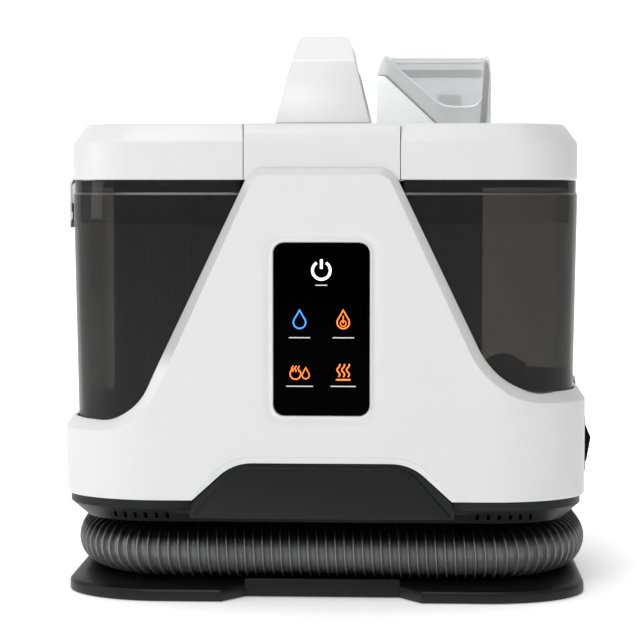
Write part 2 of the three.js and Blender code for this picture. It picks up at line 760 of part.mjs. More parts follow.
function mainBoard() {
  const pcb = box(-38, 38, 43.4, 45, 110, 220);
  const standoffs = [-32, 32].flatMap((x) => [116, 214].map((z) => bar("y", 44.5, 46.9, x, z, 3, 12)));
  const parts = [
    [-24, 130, 7, 14],
    [-24, 160, 9, 12],
    [4, 140, 12, 10],
    [22, 180, 8, 16],
    [-10, 200, 10, 8],
  ].map(([x, z, half, depth]) => box(x - half, x + half, 43.4 - depth, 44, z - half, z + half));
  return join(pcb, ...standoffs, ...parts);
}
add("main_board", mainBoard(), "board");

const waterRoute = [
  [84, 0, 56.4],
  [84, 0, 66],
  [60, 0, 73],
  [14, -6, 76],
  [0, -6, 90],
  [0, -6, 116],
  [0, -10, 129],
  [0, -17.4, 134],
];
const waterTube = tube(waterRoute, 3.2, 8, 22);
add("water_tube", waterTube, "clear");

// ---------- mains side: rocker, its bezel, cord gland ----------
function switchBezel() {
  const { y, z, halfY, halfZ } = SWITCH;
  const side = BODY.half;
  const flange = box(side + GAP, side + 1.6, y - halfY - 4, y + halfY + 4, z - halfZ - 4, z + halfZ + 4);
  const sleeve = box(side - 8, side + 1, y - halfY - 2, y + halfY + 2, z - halfZ - 2, z + halfZ + 2);
  const well = box(side - 6.4, side + 3, y - halfY, y + halfY, z - halfZ, z + halfZ);
  return cut(join(flange, sleeve), well);
}
add("switch_bezel", switchBezel(), "black");

// Rocker seen from the front: a shallow V, hinged on a pin along y.
function rockerSwitch() {
  const { y, z, halfY, halfZ, axis } = SWITCH;
  const profile = outline([
    [axis - 2.2, z - 6],
    [axis + 2, z - halfZ + 1.6],
    [axis + 5.2, z - halfZ + 1.6],
    [axis + 8.1, z + 4],
    [axis + 4.4, z + halfZ - 1.2],
    [axis + 1, z + halfZ - 1.2],
    [axis - 2.2, z + 6],
  ]);
  return fronted(profile, y - halfY + 0.4, y + halfY - 0.4);
}
add("rocker_switch", rockerSwitch(), "black");

function cordGland() {
  const { x, z, radius } = INLET;
  const outside = bar("y", BODY.rear + GAP, BODY.rear + 2.6, x, z, radius + 3);
  const shank = bar("y", BODY.rear - 9, BODY.rear + 1, x, z, radius - GAP);
  return cut(join(outside, shank), bar("y", BODY.rear - 12, BODY.rear + 12, x, z, 3.6, 12));
}
add("cord_gland", cordGland(), "rubber");

// ---------- tanks ----------
// Half plan of a tank on the +x side at its foot; side -1 mirrors it.
function tankPlan(side, inset) {
  const inner = SEAM + TANK.draft + 0.7 + inset;
  const outer = TANK.outer - TANK.draft - inset;
  const front = TANK.front + TANK.draft + inset;
  const rear = TANK.rear - TANK.draft - inset;
  const points = [
    [side * inner, front, 4],
    [side * outer, front, TANK.corner - inset],
    [side * outer, rear, 10],
    [side * inner, rear, 4],
  ];
  return outline(side > 0 ? points : points.reverse());
}

// Drafted box: the plan at the foot grows by the draft towards the rim.
function drafted(shape, z0, z1, growth, curveSegments) {
  const geometry = new THREE.ExtrudeGeometry(shape, {
    depth: 1,
    bevelThickness: z1 - z0,
    bevelSize: growth,
    bevelSegments: 1,
    curveSegments,
  }).translate(0, 0, z1);
  return meet(solidOf(geometry), box(-400, 400, -400, 400, z0, z1));
}

function tankShell(side, port, portRadius) {
  const outer = drafted(tankPlan(side, 0), TANK.bottom, TANK.top, TANK.draft, 6);
  const inner = drafted(tankPlan(side, TANK.wall), TANK.bottom + TANK.wall, TANK.top + 1, TANK.draft, 6);
  const collar = post(port.x, port.y, TANK.bottom, TANK.bottom + 12, portRadius + 3);
  const bead = box(-168.2, -162.4, LATCH.y - LATCH.half + 1, LATCH.y + LATCH.half - 1, 247.8, 250.8);
  const walls = side < 0 ? join(cut(outer, inner), collar, bead) : join(cut(outer, inner), collar);
  return cut(walls, post(port.x, port.y, TANK.bottom - 1, TANK.bottom + 14, portRadius));
}

const LATCH = { x: -162.5, z: 277, y: -36, half: 20 };
const FLOAT = { x: -72, y: -36, bottom: 150, top: 205 };
const FILL = { x: 110, y: -60, radius: 15 };

function tankLid(side, cap) {
  const x0 = side > 0 ? SEAM + 0.2 : -LID.outer;
  const x1 = side > 0 ? LID.outer : -SEAM - 0.2;
  const spare = 40; // the plan runs past the seam, so that only its outer corners are round
  const [from, to] = side > 0 ? [x0 - spare, x1] : [x0, x1 + spare];
  const wide = lidPlan(from, to, LID.front, LID.rear + 30);
  const raised = capped(wide, LID.bottom, LID.shoulder, LID.top, LID.bevel, 3, 8);
  const trimmed = meet(raised, box(x0, x1, -200, LID.rear, 200, 320));
  const inside = meet(
    drafted(tankPlan(side, TANK.wall + 4), TANK.bottom, LID.shoulder + 3, TANK.draft, 6),
    box(-300, 300, -300, 300, LID.bottom - 1, LID.shoulder + 3),
  );
  return cut(trimmed, inside, ...cap);
}

// Sealing ring under a lid, seated inside the rim of the tank.
function lidSeal(side) {
  const outer = drafted(tankPlan(side, TANK.wall + 0.4), TANK.bottom, LID.bottom - GAP, TANK.draft, 4);
  const inner = drafted(tankPlan(side, TANK.wall + 3.4), TANK.bottom, LID.bottom, TANK.draft, 4);
  return meet(cut(outer, inner), box(-300, 300, -300, 300, LID.bottom - 5, LID.bottom - GAP));
}

// Clean water tank, on the right, with a sprung outlet valve in its floor.
add("clean_tank", tankShell(1, CLEAN, 7), "smoke");

function cleanValve() {
  const { x, y } = CLEAN;
  const stem = post(x, y, TANK_DECK.bottom - 1.6, TANK.bottom + 16, 2.2, 2.2, 12);
  const head = post(x, y, TANK.bottom + 12.4, TANK.bottom + 16, 9);
  return join(stem, head);
}
add("clean_valve", cleanValve(), "rubber");

// Strainer dome over the valve.
function strainer() {
  const { x, y } = CLEAN;
  const z = TANK.bottom + TANK.wall + GAP;
  const dome = sleeve(
    [
      [16.5, z],
      [19, z],
      [19, z + 34],
      [15, z + 46],
      [6, z + 51],
      [0, z + 52],
      [0, z + 49.5],
      [5, z + 48.5],
      [13, z + 44],
      [16.5, z + 33],
    ],
    x,
    y,
  );
  const slots = [0, 60, 120].map((turn) => {
    const slot = solidOf(new THREE.BoxGeometry(44, 2.4, 18).translate(0, 0, z + 18));
    return slot.rotate([0, 0, turn]).translate([x, y, 0]);
  });
  return cut(dome, ...slots);
}
add("strainer_dome", strainer(), "charcoal");

const fillHole = [
  post(FILL.x, FILL.y, 280, 320, FILL.radius + GAP),
  post(FILL.x, FILL.y, LID.top - 4.2, 320, FILL.radius + 4.3),
];
add("clean_lid", tankLid(1, fillHole), "white");
add("clean_seal", lidSeal(1), "rubber");

const fillCap = cut(
  join(
    post(FILL.x, FILL.y, LID.top - 4, LID.top - 0.2, FILL.radius + 4),
    post(FILL.x, FILL.y, LID.top - 10, LID.top - 3, FILL.radius),
  ),
  box(FILL.x - 9, FILL.x - 3, FILL.y - 9, FILL.y + 9, LID.top - 2.2, LID.top + 1),
  box(FILL.x + 3, FILL.x + 9, FILL.y - 9, FILL.y + 9, LID.top - 2.2, LID.top + 1),
);
add("fill_cap", fillCap, "charcoal");

// Recovery tank, on the left, with a stand pipe and a float that shuts the suction off.
add("dirty_tank", tankShell(-1, DIRTY, 12.6), "smoke");

const standPipe = cut(
  join(
    post(DIRTY.x, DIRTY.y, TANK.bottom + 12.3, 236, 14.5),
    box(DIRTY.x - 22, FLOAT.x + 14, DIRTY.y - 20, DIRTY.y + 20, 231.4, 234),
  ),
  post(DIRTY.x, DIRTY.y, 90, 250, 12.4),
);
add("stand_pipe", standPipe, "charcoal");

function floatCage() {
  const { x, y, bottom, top } = FLOAT;
  const guide = cut(
    sleeve(
      [
        [12.5, bottom - 26],
        [15, bottom - 26],
        [15, top + 26],
        [12.5, top + 26],
      ],
      x,
      y,
    ),
    box(x - 20, x + 20, y - 5, y + 5, bottom - 20, top + 16),
    box(x - 5, x + 5, y - 20, y + 20, bottom - 20, top + 16),
  );
  const sill = cut(post(x, y, bottom - 26, bottom - 23, 15), post(x, y, bottom - 30, bottom, 8));
  return join(guide, sill);
}
add("float_cage", floatCage(), "charcoal");

const floatProfile = [
  [0, FLOAT.bottom - 20],
  [9, FLOAT.bottom - 20],
  [11.6, FLOAT.bottom - 16],
  [11.6, FLOAT.bottom + 16],
  [9, FLOAT.bottom + 20],
  [0, FLOAT.bottom + 20],
];
const float = turned(floatProfile, FLOAT.x, FLOAT.y, 20);
add("float_ball", float, "clear");

const pocketHalf = LATCH.half + 0.6;
const latchPocket = [
  box(-200, LATCH.x + 5, LATCH.y - pocketHalf, LATCH.y + pocketHalf, LID.bottom - 2, LATCH.z + 5.2),
  bar("y", LATCH.y - LATCH.half - 5.3, LATCH.y + LATCH.half + 5.3, LATCH.x, LATCH.z, 1.4, 12),
];
add("dirty_lid", tankLid(-1, latchPocket), "white");
add("dirty_seal", lidSeal(-1), "rubber");

// Clip hinged in the left end of the recovery lid: its tooth hooks under a bead on the tank.
function latchClip() {
  const { x, z, y, half } = LATCH;
  const profile = outline([
    [x + 2.3, z + 2.6],
    [x + 2.3, z - 2.6],
    [x - 3.7, z - 6],
    [x - 6.8, z - 11],
    [x - 6.8, z - 29.5],
    [x - 6, z - 30.4],
    [x - 6, z - 34],
    [x - 7.1, z - 36],
    [x - 7.3, z - 40.3],
    [x - 9.2, z - 40.3],
    [x - 9.7, z - 38],
    [x - 9.7, z - 8.5],
    [x - 4, z + 2.5],
  ]);
  return cut(fronted(profile, y - half, y + half), bar("y", y - half - 1, y + half + 1, x, z, 1.4, 12));
}
add("lid_latch", latchClip(), "grey");

const latchPin = bar("y", LATCH.y - LATCH.half - 5, LATCH.y + LATCH.half + 5, LATCH.x, LATCH.z, 1.1, 12);
add("latch_pin", latchPin, "steel");

// ---------- hand tool, docked upright in the rear notch ----------
const NOZZLE = { left: 30, right: 115, depth: 17 };

const toolTube = cut(
  join(
    post(TOOL.x, TOOL.y, TOOL.bottom + 20, TOOL.neckBottom - GAP, TOOL.tube),
    post(TOOL.x, TOOL.y, 196, 202, TOOL.tube + 2.5),
  ),
  post(TOOL.x, TOOL.y, TOOL.bottom, TOOL.neckBottom + 5, TOOL.tube - 2.5),
  box(TOOL.x - 5, TOOL.x + 5, TOOL.y + 8, TOOL.y + 20, 222, 264),
);
add("tool_wand", toolTube, "white");

const toolCuff = cut(
  join(
    post(TOOL.x, TOOL.y, TOOL.bottom, TOOL.bottom + 19.7, 19),
    post(TOOL.x, TOOL.y, TOOL.bottom + 15, TOOL.bottom + 40, TOOL.tube - 2.8),
  ),
  post(TOOL.x, TOOL.y, TOOL.bottom - 1, TOOL.bottom + 50, TOOL.tube - 5),
);
add("tool_cuff", toolCuff, "grey");

// Funnel open at the top: the front view and the side view cut from one another, then hollowed.
function funnel(inset, z0, z1) {
  const front = outline([
    [TOOL.x - TOOL.tube + inset, z0],
    [TOOL.x + TOOL.tube - inset, z0],
    [NOZZLE.right - 1.5 - inset, 306],
    [NOZZLE.right - inset, 343],
    [NOZZLE.right - 3 - inset, z1],
    [NOZZLE.left + 4 + inset, z1],
    [NOZZLE.left + inset, 345],
    [NOZZLE.left + inset, 309 + inset],
    [NOZZLE.left + 28 + inset, 305.4 + inset],
  ]);
  const side = outline([
    [TOOL.y - TOOL.tube + inset, z0],
    [TOOL.y + TOOL.tube - inset, z0],
    [TOOL.y + NOZZLE.depth - inset, 306],
    [TOOL.y + NOZZLE.depth - inset, z1],
    [TOOL.y - NOZZLE.depth + inset, z1],
    [TOOL.y - NOZZLE.depth + inset, 306],
  ]);
  return meet(fronted(front, TOOL.y - 30, TOOL.y + 30), sided(side, 0, 140));
}

// The front wall stops along a diagonal, so the mouth faces forward and up.
function toolNozzle() {
  const mouth = fronted(
    outline([
      [NOZZLE.left + 4, 400],
      [NOZZLE.left + 4, TOOL.headTop + 0.5],
      [NOZZLE.left + 50, 321, 12],
      [NOZZLE.right - 4, 321],
      [NOZZLE.right - 4, 400],
    ]),
    TOOL.y - 40,
    TOOL.y - NOZZLE.depth + 3,
  );
  const inner = funnel(2, TOOL.neckBottom - 4, TOOL.headTop + 4);
  return cut(funnel(0, TOOL.neckBottom, TOOL.headTop), inner, mouth);
}
add("tool_nozzle", toolNozzle(), "clear");

// Opaque cover over the lower left of the funnel front.
const coverPlate = fronted(
  outline([
    [NOZZLE.left, 309.4],
    [NOZZLE.left + 30, 305.6],
    [NOZZLE.left + 45, 305.6],
    [NOZZLE.left + 4, 344],
    [NOZZLE.left, 344],
  ]),
  TOOL.y - NOZZLE.depth - 2.2,
  TOOL.y - NOZZLE.depth - GAP,
);
add("tool_cover", coverPlate, "white");

// Trigger at the back of the wand: pressing its lower end in opens the spray.
const triggerLever = sided(
  outline([
    [110, 259],
    [114, 261],
    [119, 253],
    [121, 241],
    [120.6, 227],
    [117.2, 227],
    [116.6, 241],
    [111, 250],
  ]),
  TOOL.x - 4.5,
  TOOL.x + 4.5,
);
add("tool_trigger", triggerLever, "charcoal");

// Spray tip behind the mouth of the nozzle.
const sprayTip = join(
  box(TOOL.x - 9, TOOL.x + 9, TOOL.y + NOZZLE.depth + GAP, TOOL.y + NOZZLE.depth + 4.6, 318, 332),
  box(TOOL.x - 5, TOOL.x + 5, TOOL.y + NOZZLE.depth + GAP, TOOL.y + NOZZLE.depth + 3.6, 300, 320),
);
add("spray_tip", sprayTip, "charcoal");

// Cradle on the rear housing: the collar of the wand rests on its two arms, open to the back.
function toolCradle() {
  const x = TOOL.x;
  const back = box(x - 21, x + 21, REAR.thinRear + GAP, REAR.thinRear + 5, 166, 195.7);
  const arms = [-1, 1].map((side) => {
    const inner = x + side * (TOOL.tube + 0.6);
    const outer = inner + side * 4;
    return box(Math.min(inner, outer), Math.max(inner, outer), 75, TOOL.y + 9, 172, 195.7);
  });
  return join(back, ...arms);
}
add("tool_cradle", toolCradle(), "charcoal");

// ---------- hose: out of the elbow, once round the waist, up the notch to the cuff of the wand ----------
function cornerPoints(x, y, from) {
  const points = [];
  for (let i = 0; i <= 3; i += 1) {
    const turn = from + (i * Math.PI) / 6;
    points.push([x + HOSE.corner * Math.cos(turn), y + HOSE.corner * Math.sin(turn), HOSE.z]);
  }
  return points;
}

const cornerX = HOSE.x - HOSE.corner;
const cornerY = HOSE.y - HOSE.corner;
const hosePath = [
  [ELBOW.end - GAP, HOSE.y, HOSE.z],
  [ELBOW.end - 36, HOSE.y, HOSE.z],
  ...cornerPoints(-cornerX, cornerY, Math.PI / 2),
  ...cornerPoints(-cornerX, -cornerY, Math.PI),
  [-40, -HOSE.y, HOSE.z],
  [40, -HOSE.y, HOSE.z],
  ...cornerPoints(cornerX, -cornerY, 1.5 * Math.PI),
  [HOSE.x, 16, HOSE.z],
  [155, 44, HOSE.z + 0.2],
  [146, 68, HOSE.z + 0.5],
  [130, 86, HOSE.z + 3],
  [111, 96, HOSE.z + 12],
  [96, TOOL.y, HOSE.z + 31],
  [88, TOOL.y, HOSE.z + 56],
  [TOOL.x, TOOL.y, TOOL.bottom - 20],
  [TOOL.x, TOOL.y, TOOL.bottom - GAP],
];
add("hose", tube(hosePath, HOSE.radius, HOSE.sides, HOSE.steps), "grey");

export default group;
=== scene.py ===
import json
import math

import bmesh
import bpy
import numpy as np
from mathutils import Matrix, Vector
from mathutils.geometry import delaunay_2d_cdt

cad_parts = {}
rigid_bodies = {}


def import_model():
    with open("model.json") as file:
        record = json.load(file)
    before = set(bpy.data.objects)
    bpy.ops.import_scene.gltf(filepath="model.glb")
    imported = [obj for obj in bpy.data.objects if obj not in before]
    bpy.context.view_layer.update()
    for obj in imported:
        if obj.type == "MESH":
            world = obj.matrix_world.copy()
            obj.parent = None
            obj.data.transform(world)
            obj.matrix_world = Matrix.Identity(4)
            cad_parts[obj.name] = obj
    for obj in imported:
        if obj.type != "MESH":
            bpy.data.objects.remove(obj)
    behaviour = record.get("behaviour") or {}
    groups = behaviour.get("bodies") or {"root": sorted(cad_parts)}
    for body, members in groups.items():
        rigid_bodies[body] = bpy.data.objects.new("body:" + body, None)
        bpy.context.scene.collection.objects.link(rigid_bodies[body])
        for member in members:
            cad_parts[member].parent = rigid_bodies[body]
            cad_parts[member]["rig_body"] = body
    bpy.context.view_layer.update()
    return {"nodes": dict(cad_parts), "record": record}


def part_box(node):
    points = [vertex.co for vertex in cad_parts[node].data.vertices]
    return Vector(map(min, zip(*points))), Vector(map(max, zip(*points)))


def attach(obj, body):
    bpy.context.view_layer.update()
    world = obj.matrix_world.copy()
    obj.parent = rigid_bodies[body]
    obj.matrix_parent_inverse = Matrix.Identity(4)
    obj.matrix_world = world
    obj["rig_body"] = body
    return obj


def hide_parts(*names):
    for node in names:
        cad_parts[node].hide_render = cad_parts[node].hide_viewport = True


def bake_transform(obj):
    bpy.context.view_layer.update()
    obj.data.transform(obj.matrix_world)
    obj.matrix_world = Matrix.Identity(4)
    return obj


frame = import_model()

MM = 0.001

# ------------------------------------------------ camera
CAMERA_AT = (0.0537, -1.372, 0.265)
CAMERA_TURN = (math.radians(90 - 3.887), 0, math.radians(2.5))
LENS = 111.8

camera_data = bpy.data.cameras.new("camera")
camera_data.lens = LENS
camera_data.sensor_width = 36
camera_data.clip_end = 50
camera = bpy.data.objects.new("camera", camera_data)
camera.location = CAMERA_AT
camera.rotation_euler = CAMERA_TURN
bpy.context.scene.collection.objects.link(camera)
bpy.context.scene.camera = camera
bpy.context.scene.view_settings.view_transform = "Standard"


# ------------------------------------------------ materials
def material(name):
    made = bpy.data.materials.new(name)
    made.use_nodes = True
    nodes = made.node_tree.nodes
    return made, nodes, made.node_tree.links, nodes["Principled BSDF"]


def noise(nodes, scale, detail=3.0, rough=0.5):
    place = nodes.new("ShaderNodeTexCoord")
    made = nodes.new("ShaderNodeTexNoise")
    made.inputs["Scale"].default_value = scale
    made.inputs["Detail"].default_value = detail
    made.inputs["Roughness"].default_value = rough
    made.id_data.links.new(place.outputs["Object"], made.inputs["Vector"])
    return made


def ramp(nodes, links, source, low, high, a, b):
    made = nodes.new("ShaderNodeMapRange")
    made.inputs["From Min"].default_value = low
    made.inputs["From Max"].default_value = high
    made.inputs["To Min"].default_value = a
    made.inputs["To Max"].default_value = b
    links.new(source, made.inputs["Value"])
    return made.outputs["Result"]


def tinted(nodes, links, source, colour, spread):
    mix = nodes.new("ShaderNodeMix")
    mix.data_type = "RGBA"
    low = [c * (1 - spread) for c in colour] + [1]
    high = [min(1, c * (1 + spread)) for c in colour] + [1]
    mix.inputs["A"].default_value = low
    mix.inputs["B"].default_value = high
    links.new(source, mix.inputs["Factor"])
    return mix.outputs["Result"]


def solid(
    name, colour, rough, grain=900, bump=0.02, spread=0.03,
    metallic=0.0, coat=0.0, drift=14, specular=0.5, dim=0.0, glow=0.0,
):
    """Moulded plastic, rubber or metal: slow colour drift, uneven gloss and a fine surface grain.

    dim is how far the mesh attribute "edge" darkens it, as painted shade, and glow an emission that
    brightens it, as painted light.
    """
    made, nodes, links, shader = material(name)
    shader.inputs["Emission Color"].default_value = (*colour, 1)
    shader.inputs["Emission Strength"].default_value = glow
    slow = noise(nodes, drift, 2)
    fine = noise(nodes, grain, 4, 0.6)
    tone = tinted(nodes, links, slow.outputs["Fac"], colour, spread)
    if dim:
        mark = nodes.new("ShaderNodeAttribute")
        mark.attribute_name = "edge"
        mix = nodes.new("ShaderNodeMix")
        mix.data_type = "RGBA"
        mix.inputs["B"].default_value = [c * (1 - dim) for c in colour] + [1]
        links.new(tone, mix.inputs["A"])
        links.new(mark.outputs["Fac"], mix.inputs["Factor"])
        tone = mix.outputs["Result"]
    links.new(tone, shader.inputs["Base Color"])
    gloss = ramp(nodes, links, slow.outputs["Fac"], 0.3, 0.7, rough * 0.88, rough * 1.12)
    links.new(gloss, shader.inputs["Roughness"])
    shader.inputs["Metallic"].default_value = metallic
    shader.inputs["Coat Weight"].default_value = coat
    shader.inputs["Coat Roughness"].default_value = 0.08
    shader.inputs["Specular IOR Level"].default_value = specular
    lift = nodes.new("ShaderNodeBump")
    lift.inputs["Strength"].default_value = bump
    lift.inputs["Distance"].default_value = 0.0004
    links.new(fine.outputs["Fac"], lift.inputs["Height"])
    links.new(lift.outputs["Normal"], shader.inputs["Normal"])
    return made


def sheer(name, tint, body, cover, rough=0.06, spread=0.06):
    """See-through moulding: tinted pass-through under a thin reflecting skin."""
    made, nodes, links, shader = material(name)
    slow = noise(nodes, 9, 2)
    clear = nodes.new("ShaderNodeBsdfTransparent")
    links.new(tinted(nodes, links, slow.outputs["Fac"], tint, spread), clear.inputs["Color"])
    shader.inputs["Base Color"].default_value = (*body, 1)
    gloss = ramp(nodes, links, slow.outputs["Fac"], 0.3, 0.7, rough * 0.8, rough * 1.3)
    links.new(gloss, shader.inputs["Roughness"])
    facing = nodes.new("ShaderNodeLayerWeight")
    facing.inputs["Blend"].default_value = 0.22
    amount = ramp(nodes, links, facing.outputs["Facing"], 0.0, 1.0, cover, min(1, cover + 0.55))
    mix = nodes.new("ShaderNodeMixShader")
    links.new(amount, mix.inputs["Fac"])
    links.new(clear.outputs["BSDF"], mix.inputs[1])
    links.new(shader.outputs["BSDF"], mix.inputs[2])
    links.new(mix.outputs["Shader"], nodes["Material Output"].inputs["Surface"])
    return made


def glowing(name, colour, strength):
    made, nodes, links, shader = material(name)
    slow = noise(nodes, 60, 2)
    drift = tinted(nodes, links, slow.outputs["Fac"], colour, 0.05)
    links.new(drift, shader.inputs["Base Color"])
    links.new(drift, shader.inputs["Emission Color"])
    shader.inputs["Emission Strength"].default_value = strength
    shader.inputs["Roughness"].default_value = 0.4
    return made


SATIN = {"grain": 1500, "bump": 0.012, "spread": 0.012}
BODY_WHITE = (0.76, 0.765, 0.76)
WHITE = solid("white_plastic", BODY_WHITE, 0.36, specular=0.4, **SATIN)
# The front shell's white darkens with the "edge" attribute: painted shade on its bevel.
SHELL_WHITE = solid("shell_plastic", BODY_WHITE, 0.36, specular=0.4, dim=0.36, **SATIN)
CHARCOAL = solid(
    "charcoal_plastic", (0.0106, 0.0108, 0.0113), 0.42, grain=1800, bump=0.05, spread=0.08, specular=0.22
)
DEEP = solid("deep_charcoal", (0.010, 0.0103, 0.011), 0.5, grain=1500, bump=0.05, spread=0.08, specular=0.3)
BLACK = solid(
    "black_plastic", (0.002, 0.002, 0.0022), 0.34, grain=1600, bump=0.03, spread=0.08, specular=0.07
)
RUBBER = solid("rubber", (0.012, 0.012, 0.012), 0.75, grain=700, bump=0.15, spread=0.1)
STEEL = solid("steel", (0.55, 0.56, 0.58), 0.28, grain=600, bump=0.03, metallic=1)
ALLOY = solid("cast_alloy", (0.5, 0.51, 0.53), 0.45, grain=500, bump=0.1, metallic=1)
BOARD = solid("circuit_board", (0.02, 0.10, 0.045), 0.45, grain=900, bump=0.05)
GREY = solid("grey_plastic", (0.36, 0.365, 0.37), 0.42, grain=1500, bump=0.03)
# Grey for strips that stand for shade on the scoop: painted shade.
PAINTED_SHADE_GREY = solid("painted_shade_grey", (0.40, 0.405, 0.41), 0.4, grain=1500, bump=0.02)
DUCT = solid("duct_plastic", (0.10, 0.10, 0.105), 0.5, grain=1500, bump=0.03)
PANEL = solid("touch_glass", (0.0002, 0.0002, 0.0002), 0.10, grain=300, bump=0.0, spread=0.1, specular=0.01)
LATCH_GREY = solid("latch_grey", (0.95, 0.95, 0.945), 0.38, grain=1500, bump=0.02)
# The fins' lighter copy of the hose plastic is painted light on the fins.
HOSE_RIB_PAINTED_LIGHT = solid("hose_rib", (0.31, 0.311, 0.313), 0.30, bump=0.03, spread=0.05, drift=40, dim=0.95)
HOSE_SKIN = solid("hose_plastic", (0.205, 0.206, 0.209), 0.30, bump=0.03, spread=0.06, drift=40, dim=0.95)
SMOKE = sheer("smoke_plastic", (0.50, 0.495, 0.49), (0.068, 0.0675, 0.067), 0.20)
# Lighter, faintly glowing copy of the white for the handle's flat shoulders: painted highlight.
SHOULDER_WHITE_PAINTED_LIGHT = solid("shoulder_plastic_painted_highlight", (0.86, 0.865, 0.86), 0.36, glow=0.04, **SATIN)
# The cover's white plastic, made whiter and given an emission glow: painted light where the handle shades
# it.
COVER_WHITE_PAINTED_LIGHT = solid(
    "cover_plastic_painted_light", (0.88, 0.885, 0.885), 0.3, grain=1500, bump=0.012, spread=0.01, coat=0.15, glow=0.22
)
SMOKE_EDGE = solid("smoke_edge", (0.075, 0.075, 0.074), 0.3, grain=900, bump=0.01)
# Bright opaque white for the scoop's lip and the rib inside it: painted highlight.
FROST_EDGE_HIGHLIGHT = solid("frosted_edge_highlight", (0.93, 0.935, 0.94), 0.2, grain=900, bump=0.01, spread=0.02, coat=0.3)
FROST = sheer("frosted_plastic", (0.95, 0.955, 0.96), (0.88, 0.885, 0.89), 0.62, rough=0.10)
CLEAR = sheer("clear_plastic", (0.85, 0.86, 0.87), (0.5, 0.5, 0.5), 0.15, rough=0.12)
ICON_WHITE = glowing("icon_white", (0.9, 0.92, 0.95), 1.2)
ICON_GREY = glowing("icon_grey", (0.55, 0.56, 0.58), 0.35)
ICON_BLUE = glowing("icon_blue", (0.03, 0.22, 0.95), 1.6)
ICON_ORANGE = glowing("icon_orange", (0.95, 0.17, 0.02), 1.4)


# ------------------------------------------------ meshes
def show(name, verts, faces, look, body, replaces=(), sharp=35):
    """A piece from points in millimetres, riding on its body."""
    mesh = bpy.data.meshes.new(name)
    mesh.from_pydata([tuple(MM * c for c in v) for v in verts], [], faces)
    mesh.validate()
    mesh.update()
    mesh.shade_smooth()
    mesh.set_sharp_from_angle(angle=math.radians(sharp))
    mesh.materials.append(look)
    made = bpy.data.objects.new(name, mesh)
    bpy.context.scene.collection.objects.link(made)
    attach(made, body)
    if replaces:
        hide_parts(*replaces)
    return made


def loft(loops, cap_first=True, cap_last=True):
    """Skin over loops that all have the same number of points."""
    verts = [p for loop in loops for p in loop]
    n = len(loops[0])
    faces = []
    for k in range(len(loops) - 1):
        for i in range(n):
            j = (i + 1) % n
            faces.append((k * n + i, k * n + j, (k + 1) * n + j, (k + 1) * n + i))
    if cap_first:
        faces.append(tuple(reversed(range(n))))
    if cap_last:
        faces.append(tuple(range((len(loops) - 1) * n, len(loops) * n)))
    return verts, faces


def rounded(corners, facets=8):
    """Closed outline: each corner is (x, y, radius) or (x, y, radius before, radius after)."""
    points = []
    n = len(corners)
    for i, corner in enumerate(corners):
        here = Vector(corner[:2])
        radii = corner[2:] or (0,)
        if radii[0] == 0:
            points.append(tuple(here))
            continue
        before = (Vector(corners[i - 1][:2]) - here).normalized()
        after = (Vector(corners[(i + 1) % n][:2]) - here).normalized()
        if len(radii) == 2:
            for k in range(facets + 1):
                t = math.pi / 2 * k / facets
                p = here + before * radii[0] * (1 - math.sin(t)) + after * radii[1] * (1 - math.cos(t))
                points.append(tuple(p))
            continue
        half = before.angle(after) / 2
        middle = (before + after).normalized()
        centre = here + middle * (radii[0] / math.sin(half))
        sweep = (math.pi / 2 - half) * math.copysign(1, before.x * after.y - before.y * after.x)
        for k in range(facets + 1):
            turn = sweep * (1 - 2 * k / facets)
            c, s = math.cos(turn), math.sin(turn)
            arm = -middle * radii[0]
            points.append((centre.x + c * arm.x - s * arm.y, centre.y + s * arm.x + c * arm.y))
    return points


def offset(loop, distance):
    """Moves a closed counter-clockwise outline inwards; distance may differ from point to point."""
    n = len(loop)
    d = distance if hasattr(distance, "__len__") else [distance] * n
    points = [Vector(p) for p in loop]
    moved = []
    for i, p in enumerate(points):
        a = (p - points[i - 1]).normalized()
        b = (points[(i + 1) % n] - p).normalized()
        na, nb = Vector((-a.y, a.x)), Vector((-b.y, b.x))
        middle = (na + nb).normalized()
        moved.append(tuple(p + middle * (d[i] / max(0.3, middle.dot(na)))))
    return moved


def at_height(loop, z):
    return [(x, y, z) for x, y in loop]


def rect(x0, x1, y0, y1, radii, facets=10):
    a, b, c, d = (max(0.05, r) for r in radii)
    return rounded([(x0, y0, a), (x1, y0, b), (x1, y1, c), (x0, y1, d)], facets)


def plate(name, outline, y_front, y_back, bevel, look, body, slot, replaces=()):
    """Flat piece facing forward: its outline is in (x, z), its front edge rounded."""
    steps = 3
    loops = [[(x, y_back, z) for x, z in outline]]
    for k in range(steps + 1):
        t = math.pi / 2 * k / steps
        ring = offset(outline, bevel * (1 - math.cos(t)))
        y = y_front + bevel * (1 - math.sin(t))
        loops.append([(x, y, z) for x, z in ring])
    verts, faces = loft(loops, cap_first=False)
    return show(name, verts, faces, look, body, replaces)


